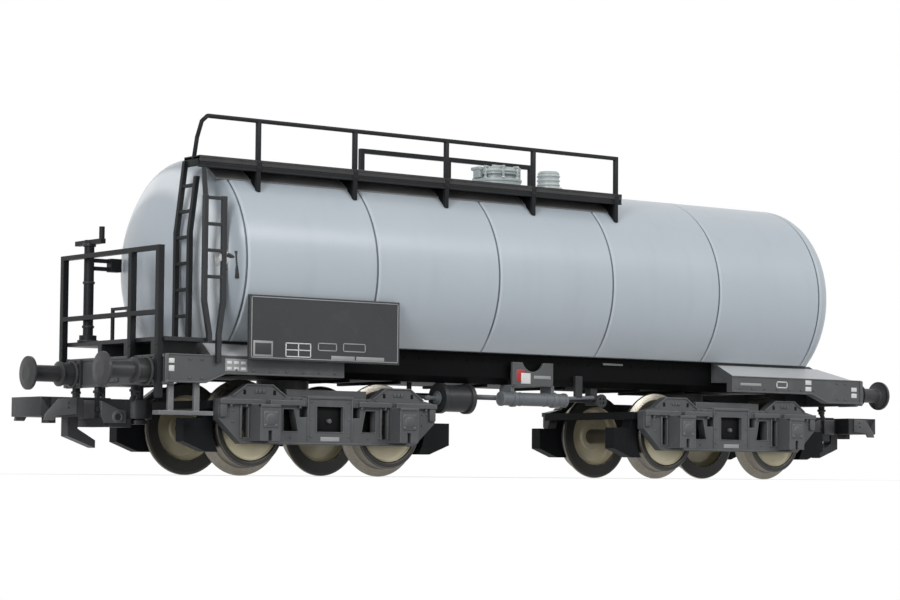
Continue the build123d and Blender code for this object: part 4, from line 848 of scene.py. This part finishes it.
# Vent: a flat cap on a body with bands round it, and bolts on its flange
vent_profile = (
    (23.57, 0), (23.57, 1.15), (23.98, 1.15), (24.04, 0.9),
    (24.98, 0.9), (25.2, 0.9), (25.34, 0.8), (25.38, 0),
)
pieces = [turned(vent_profile, (vent_x, 0, 0), "Z", 36)]
pieces += [
    turned(((z, 0.88), (z + 0.03, 0.97), (z + 0.13, 0.97), (z + 0.16, 0.88)), (vent_x, 0, 0), "Z", 36)
    for z in (24.14, 24.5, 24.86)
]
pieces += rows(rivet("Z", 0.08, 0.07), [(vent_x + x, y, 24.0) for x, y in ring(8, 1.03)])
fitted("vent_dressed", pieces, "car", finishes["dome_grey"], ["vent_dome"])

# Walkway: its deck with an edge band, a sheet on the tank as painted shade under the deck, and a gusset at
# each post
start_x, end_x, near_y, far_y = -31.94, 8.45, -6.2, -4.0
post_places = [-26.84 + 8.68 * post for post in range(5)]
# The outline of the sheet of painted shade, following the tank round
turns = (-0.711, -0.65, -0.59, -0.54, -0.502)
shade_sheet_outline = [
    (radius * sin(turn), tank_axis_z + radius * cos(turn))
    for radius, way in ((8.2, turns), (8.0, turns[::-1])) for turn in way
]
gusset = ((-6.18, 23.0), (-6.18, 20.8), (-5.6, 21.3), (-4.9, 21.92), (-4.02, 22.5), (-4.02, 23.0))
pieces = [
    painted(block((start_x, near_y, 22.9), (end_x, far_y, walk_top_z), slim_edge), tread_black),
    painted(block((start_x, near_y, 22.72), (end_x, -5.92, walk_top_z)), fascia_grey),
    block((start_x, -6.14, 22.36), (end_x, -5.98, 22.8), slim_edge),
    block((start_x, near_y, 22.3), (end_x, -5.9, 22.42), slim_edge),
    # A sheet on the tank: painted shade under the deck
    painted(plate(shade_sheet_outline, -30.0, 8.2), shade_sheet_grey),
    block((start_x, -4.16, 22.6), (end_x, far_y, 22.95), slim_edge),
    block((start_x, -6.15, 22.4), (-31.72, -4.05, 23.1), slim_edge),
    block((8.23, -6.15, 22.4), (end_x, -4.05, 23.1), slim_edge),
]
# Gussets in near-black: their own dark colour deepened by painted shade
pieces += [painted(plate(gusset, post_x - 0.17, post_x + 0.17), painted_shade_black) for post_x in post_places]
pieces += [
    block((post_x - 0.24, -6.24, 22.34), (post_x + 0.24, -6.1, 23.14), slim_edge) for post_x in post_places
]
spots = [(post_x + x, -6.24, z) for post_x in post_places for x, z in ((0, 22.55), (0, 22.95))]
pieces += rows(rivet("-Y", 0.07, 0.05), spots)
fitted("walkway_dressed", pieces, "car", rail_black, ["walkway"])

# Walkway railing: thin bars, and an end post that leans in to the deck
pieces = [
    block((post_x - 0.18, near_y, 20.85), (post_x + 0.18, -5.88, 26.0), stout_edge) for post_x in post_places
]
pieces += [
    block((-31.3, near_y, 25.92), (8.06, -5.88, 26.22), stout_edge),
    rod((-31.86, -5.2, 22.9), (-31.84, -5.62, 24.6), 0.16),
    rod((-31.84, -5.6, 24.5), (-31.7, -6.02, 25.72), 0.16),
    rod((-31.71, -6.01, 25.66), (-31.25, -6.04, 26.08), 0.16),
]
fitted("walkway_railing_dressed", pieces, "car", rail_black, ["walkway_railing"])

# Reservoir: end caps, seams and pipes
pieces = []
cap_profile = ((-0.25, 0.54), (-0.25, 0.58), (-0.05, 0.58), (-0.02, 0.5), (0.04, 0.3), (0.06, 0))
for place_x, axis in ((-3.2, "-X"), (3.5, "X")):
    pieces.append(turned(cap_profile, (place_x, reservoir_y, reservoir_z), axis, 28))
seam_profile = ((-0.04, 0.53), (-0.04, 0.56), (0.04, 0.56), (0.04, 0.53), (-0.04, 0.53))
for seam_x in (-1.2, 1.3):
    pieces.append(turned(seam_profile, (seam_x, reservoir_y, reservoir_z), "X", 24))
pieces.append(rod((-5.6, -3.9, 6.4), (-3.1, -4.6, 6.35), 0.14))
pieces.append(rod((3.6, -4.9, 6.4), (6.6, -4.9, 6.55), 0.14))
fitted("reservoir_fittings", pieces, "car", gear_grey)

# Brake cylinder: its gland, rod and link, and the nuts of its lid
gland_profile = ((0, 0.55), (0.08, 0.55), (0.12, 0.4), (0.3, 0.3), (0.34, 0))
pieces = [
    turned(gland_profile, (-8.6, cylinder_y, cylinder_z), "-X", 24),
    rod((-9.9, cylinder_y, cylinder_z), (-8.5, cylinder_y, cylinder_z), 0.16),
    rod((-9.6, cylinder_y, cylinder_z), (-9.6, -1.6, 6.4), 0.14),
    block((-9.75, -4.2, 5.95), (-9.45, -3.8, 6.35), stout_edge),
]
spots = [(-5.6, cylinder_y + y, cylinder_z + z) for y, z in ring(6, 0.98)]
pieces += rows(nut("X", 0.1, 0.1), spots)
fitted("brake_cylinder_fittings", pieces, "car", gear_grey)

# Couplers: a spring's pin, a pivot's head, the guide's edges, the claw's bar, and the pale cheeks
cheek_outline = (
    (42.1, 3.82), (42.0, 4.25), (41.0, 5.36), (39.5, 5.46), (39.5, 4.3), (41.1, 4.14), (41.3, 3.82),
)
heel_outline = ((36.7, 5.36), (35.2, 4.75), (34.6, 4.7), (34.6, 3.75), (36.5, 3.75), (36.7, 4.2))
eye_profile = ((0, 0.26), (0, 0.44), (0.08, 0.44), (0.12, 0.36), (0.12, 0.26), (0, 0.26))
for end, body in ((-1, "front_coupler"), (1, "rear_coupler")):
    pieces = [
        rod((end * 36.9, -0.72, 4.75), (end * 36.9, 0.72, 4.75), 0.22),
        turned(((-0.02, 0.5), (0.06, 0.5), (0.1, 0.42), (0.1, 0)), (end * 33.2, 0, 5.5), "Z", 24),
        block((end * 35.8, -0.66, 5.42), (end * 38.6, -0.5, 5.56), slim_edge),
        block((end * 35.8, 0.5, 5.42), (end * 38.6, 0.66, 5.56), slim_edge),
        block((end * 41.45, -2.2, 4.1), (end * 42.35, 2.2, 5.5), 0.06),
    ]
    # The claw's cheeks, and the blocks and eyes on the shank, whose pale sides show at the front
    pale = mirrored([plate([(end * x, z) for x, z in cheek_outline], -2.3, -2.1, "Y")])
    pale += [
        block((end * 37.2, -0.86, 4.0), (end * 38.5, 0.86, 5.36), 0.09),
        plate([(end * x, z) for x, z in heel_outline], -0.86, 0.86, "Y"),
    ]
    pale += mirrored([turned(eye_profile, (end * 35.3, -0.84, 4.2), "-Y", 20)])
    pieces += [painted(piece, cheek_grey) for piece in pale]
    hole = turned(((0, 0.27), (0.02, 0.27), (0.02, 0)), (end * 35.3, -0.85, 4.2), "-Y", 20)
    pieces += mirrored([hole])
    pieces += [rod((end * 40.2, -2.28, z), (end * 40.2, -2.36, z), 0.09) for z in (4.75, 5.1)]
    fitted(f"{body}_fittings", pieces, body, finishes["black_plastic"])


# The camera, at floor level, as the photograph was taken
camera_place = Vector((-130.023, -165.314, 0.3)) * mm
camera_yaw, camera_pitch, camera_roll = radians(37.228), radians(3.833), radians(0.465)
aim = Matrix.Rotation(-camera_yaw, 3, "Z") @ Matrix.Rotation(radians(90) + camera_pitch, 3, "X")
bpy.ops.object.camera_add(
    location=camera_place,
    rotation=(aim @ Matrix.Rotation(camera_roll, 3, "Z")).to_euler(),
)
camera = bpy.context.object
camera.data.lens = 103.49
camera.data.clip_start = 1 * mm
bpy.context.scene.camera = camera

# The floor, the white surroundings and the lamps
bpy.ops.mesh.primitive_plane_add(size=8)
floor = bpy.context.object
floor.name = "floor"
floor_finish = Finish("floor_white")
rays = floor_finish.node("LightPath", output="Is Camera Ray")
rays = rays + floor_finish.node("LightPath", output="Is Glossy Ray")
colour = floor_finish.mix(rays, (0.5, 0.5, 0.5), (0.9, 0.9, 0.9))
lit = floor_finish.node("BsdfDiffuse", None, {"Color": colour})
glow = floor_finish.node("Emission", None, {"Color": (1, 1, 1, 1), "Strength": 1.0})
# Near the car the floor shows its shadow, and far off it is as white as the surroundings
shadow_reach, white_reach, near_glow = 30 * mm, 58 * mm, 0.62
spread = floor_finish.node("Mapping", None, {"Vector": floor_finish.place, "Scale": (0.8, 2.2, 1)})
reach = floor_finish.node("VectorMath", {"operation": "LENGTH"}, {0: spread}, output="Value")
clear = floor_finish.eased(reach, shadow_reach, white_reach)
share = rays * (near_glow + (1 - near_glow) * clear)
surface = floor_finish.node("MixShader", None, {0: share, 1: lit, 2: glow})
floor_finish.node("OutputMaterial", None, {"Surface": surface})
floor.data.materials.append(floor_finish.material)

# The surroundings look white, and light the car with less than that
world_light = 0.44
world = bpy.data.worlds.new("surroundings")
bpy.context.scene.world = world
world.use_nodes = True
sky = world.node_tree
background = sky.nodes["Background"]
path = sky.nodes.new("ShaderNodeLightPath")
seen = Signal(sky, path.outputs["Is Camera Ray"])
for ray in ("Is Glossy Ray", "Is Transmission Ray"):
    seen = seen + Signal(sky, path.outputs[ray])
strength = seen * (1 - world_light) + world_light
sky.links.new(strength.socket, background.inputs["Strength"])
background.inputs["Color"].default_value = (1, 1, 1, 1)

lamp_target = Vector((0, 0, 15)) * mm
lamps = (
    # name, place, width, height, power in watts
    ("key", (0.22, -0.53, 0.38), 0.40, 0.14, 1.85),
    ("fill", (-0.52, -0.30, 0.15), 0.16, 0.42, 2.1),
    ("back", (0.20, 0.50, 0.35), 0.40, 0.40, 0.35),
)
for name, place, width, height, power in lamps:
    bpy.ops.object.light_add(type="AREA", location=place)
    lamp = bpy.context.object
    lamp.name = name
    lamp.data.shape = "RECTANGLE"
    lamp.data.size = width
    lamp.data.size_y = height
    lamp.data.energy = power
    lamp.rotation_euler = (lamp_target - Vector(place)).to_track_quat("-Z", "Y").to_euler()

bpy.context.scene.view_settings.view_transform = "Standard"
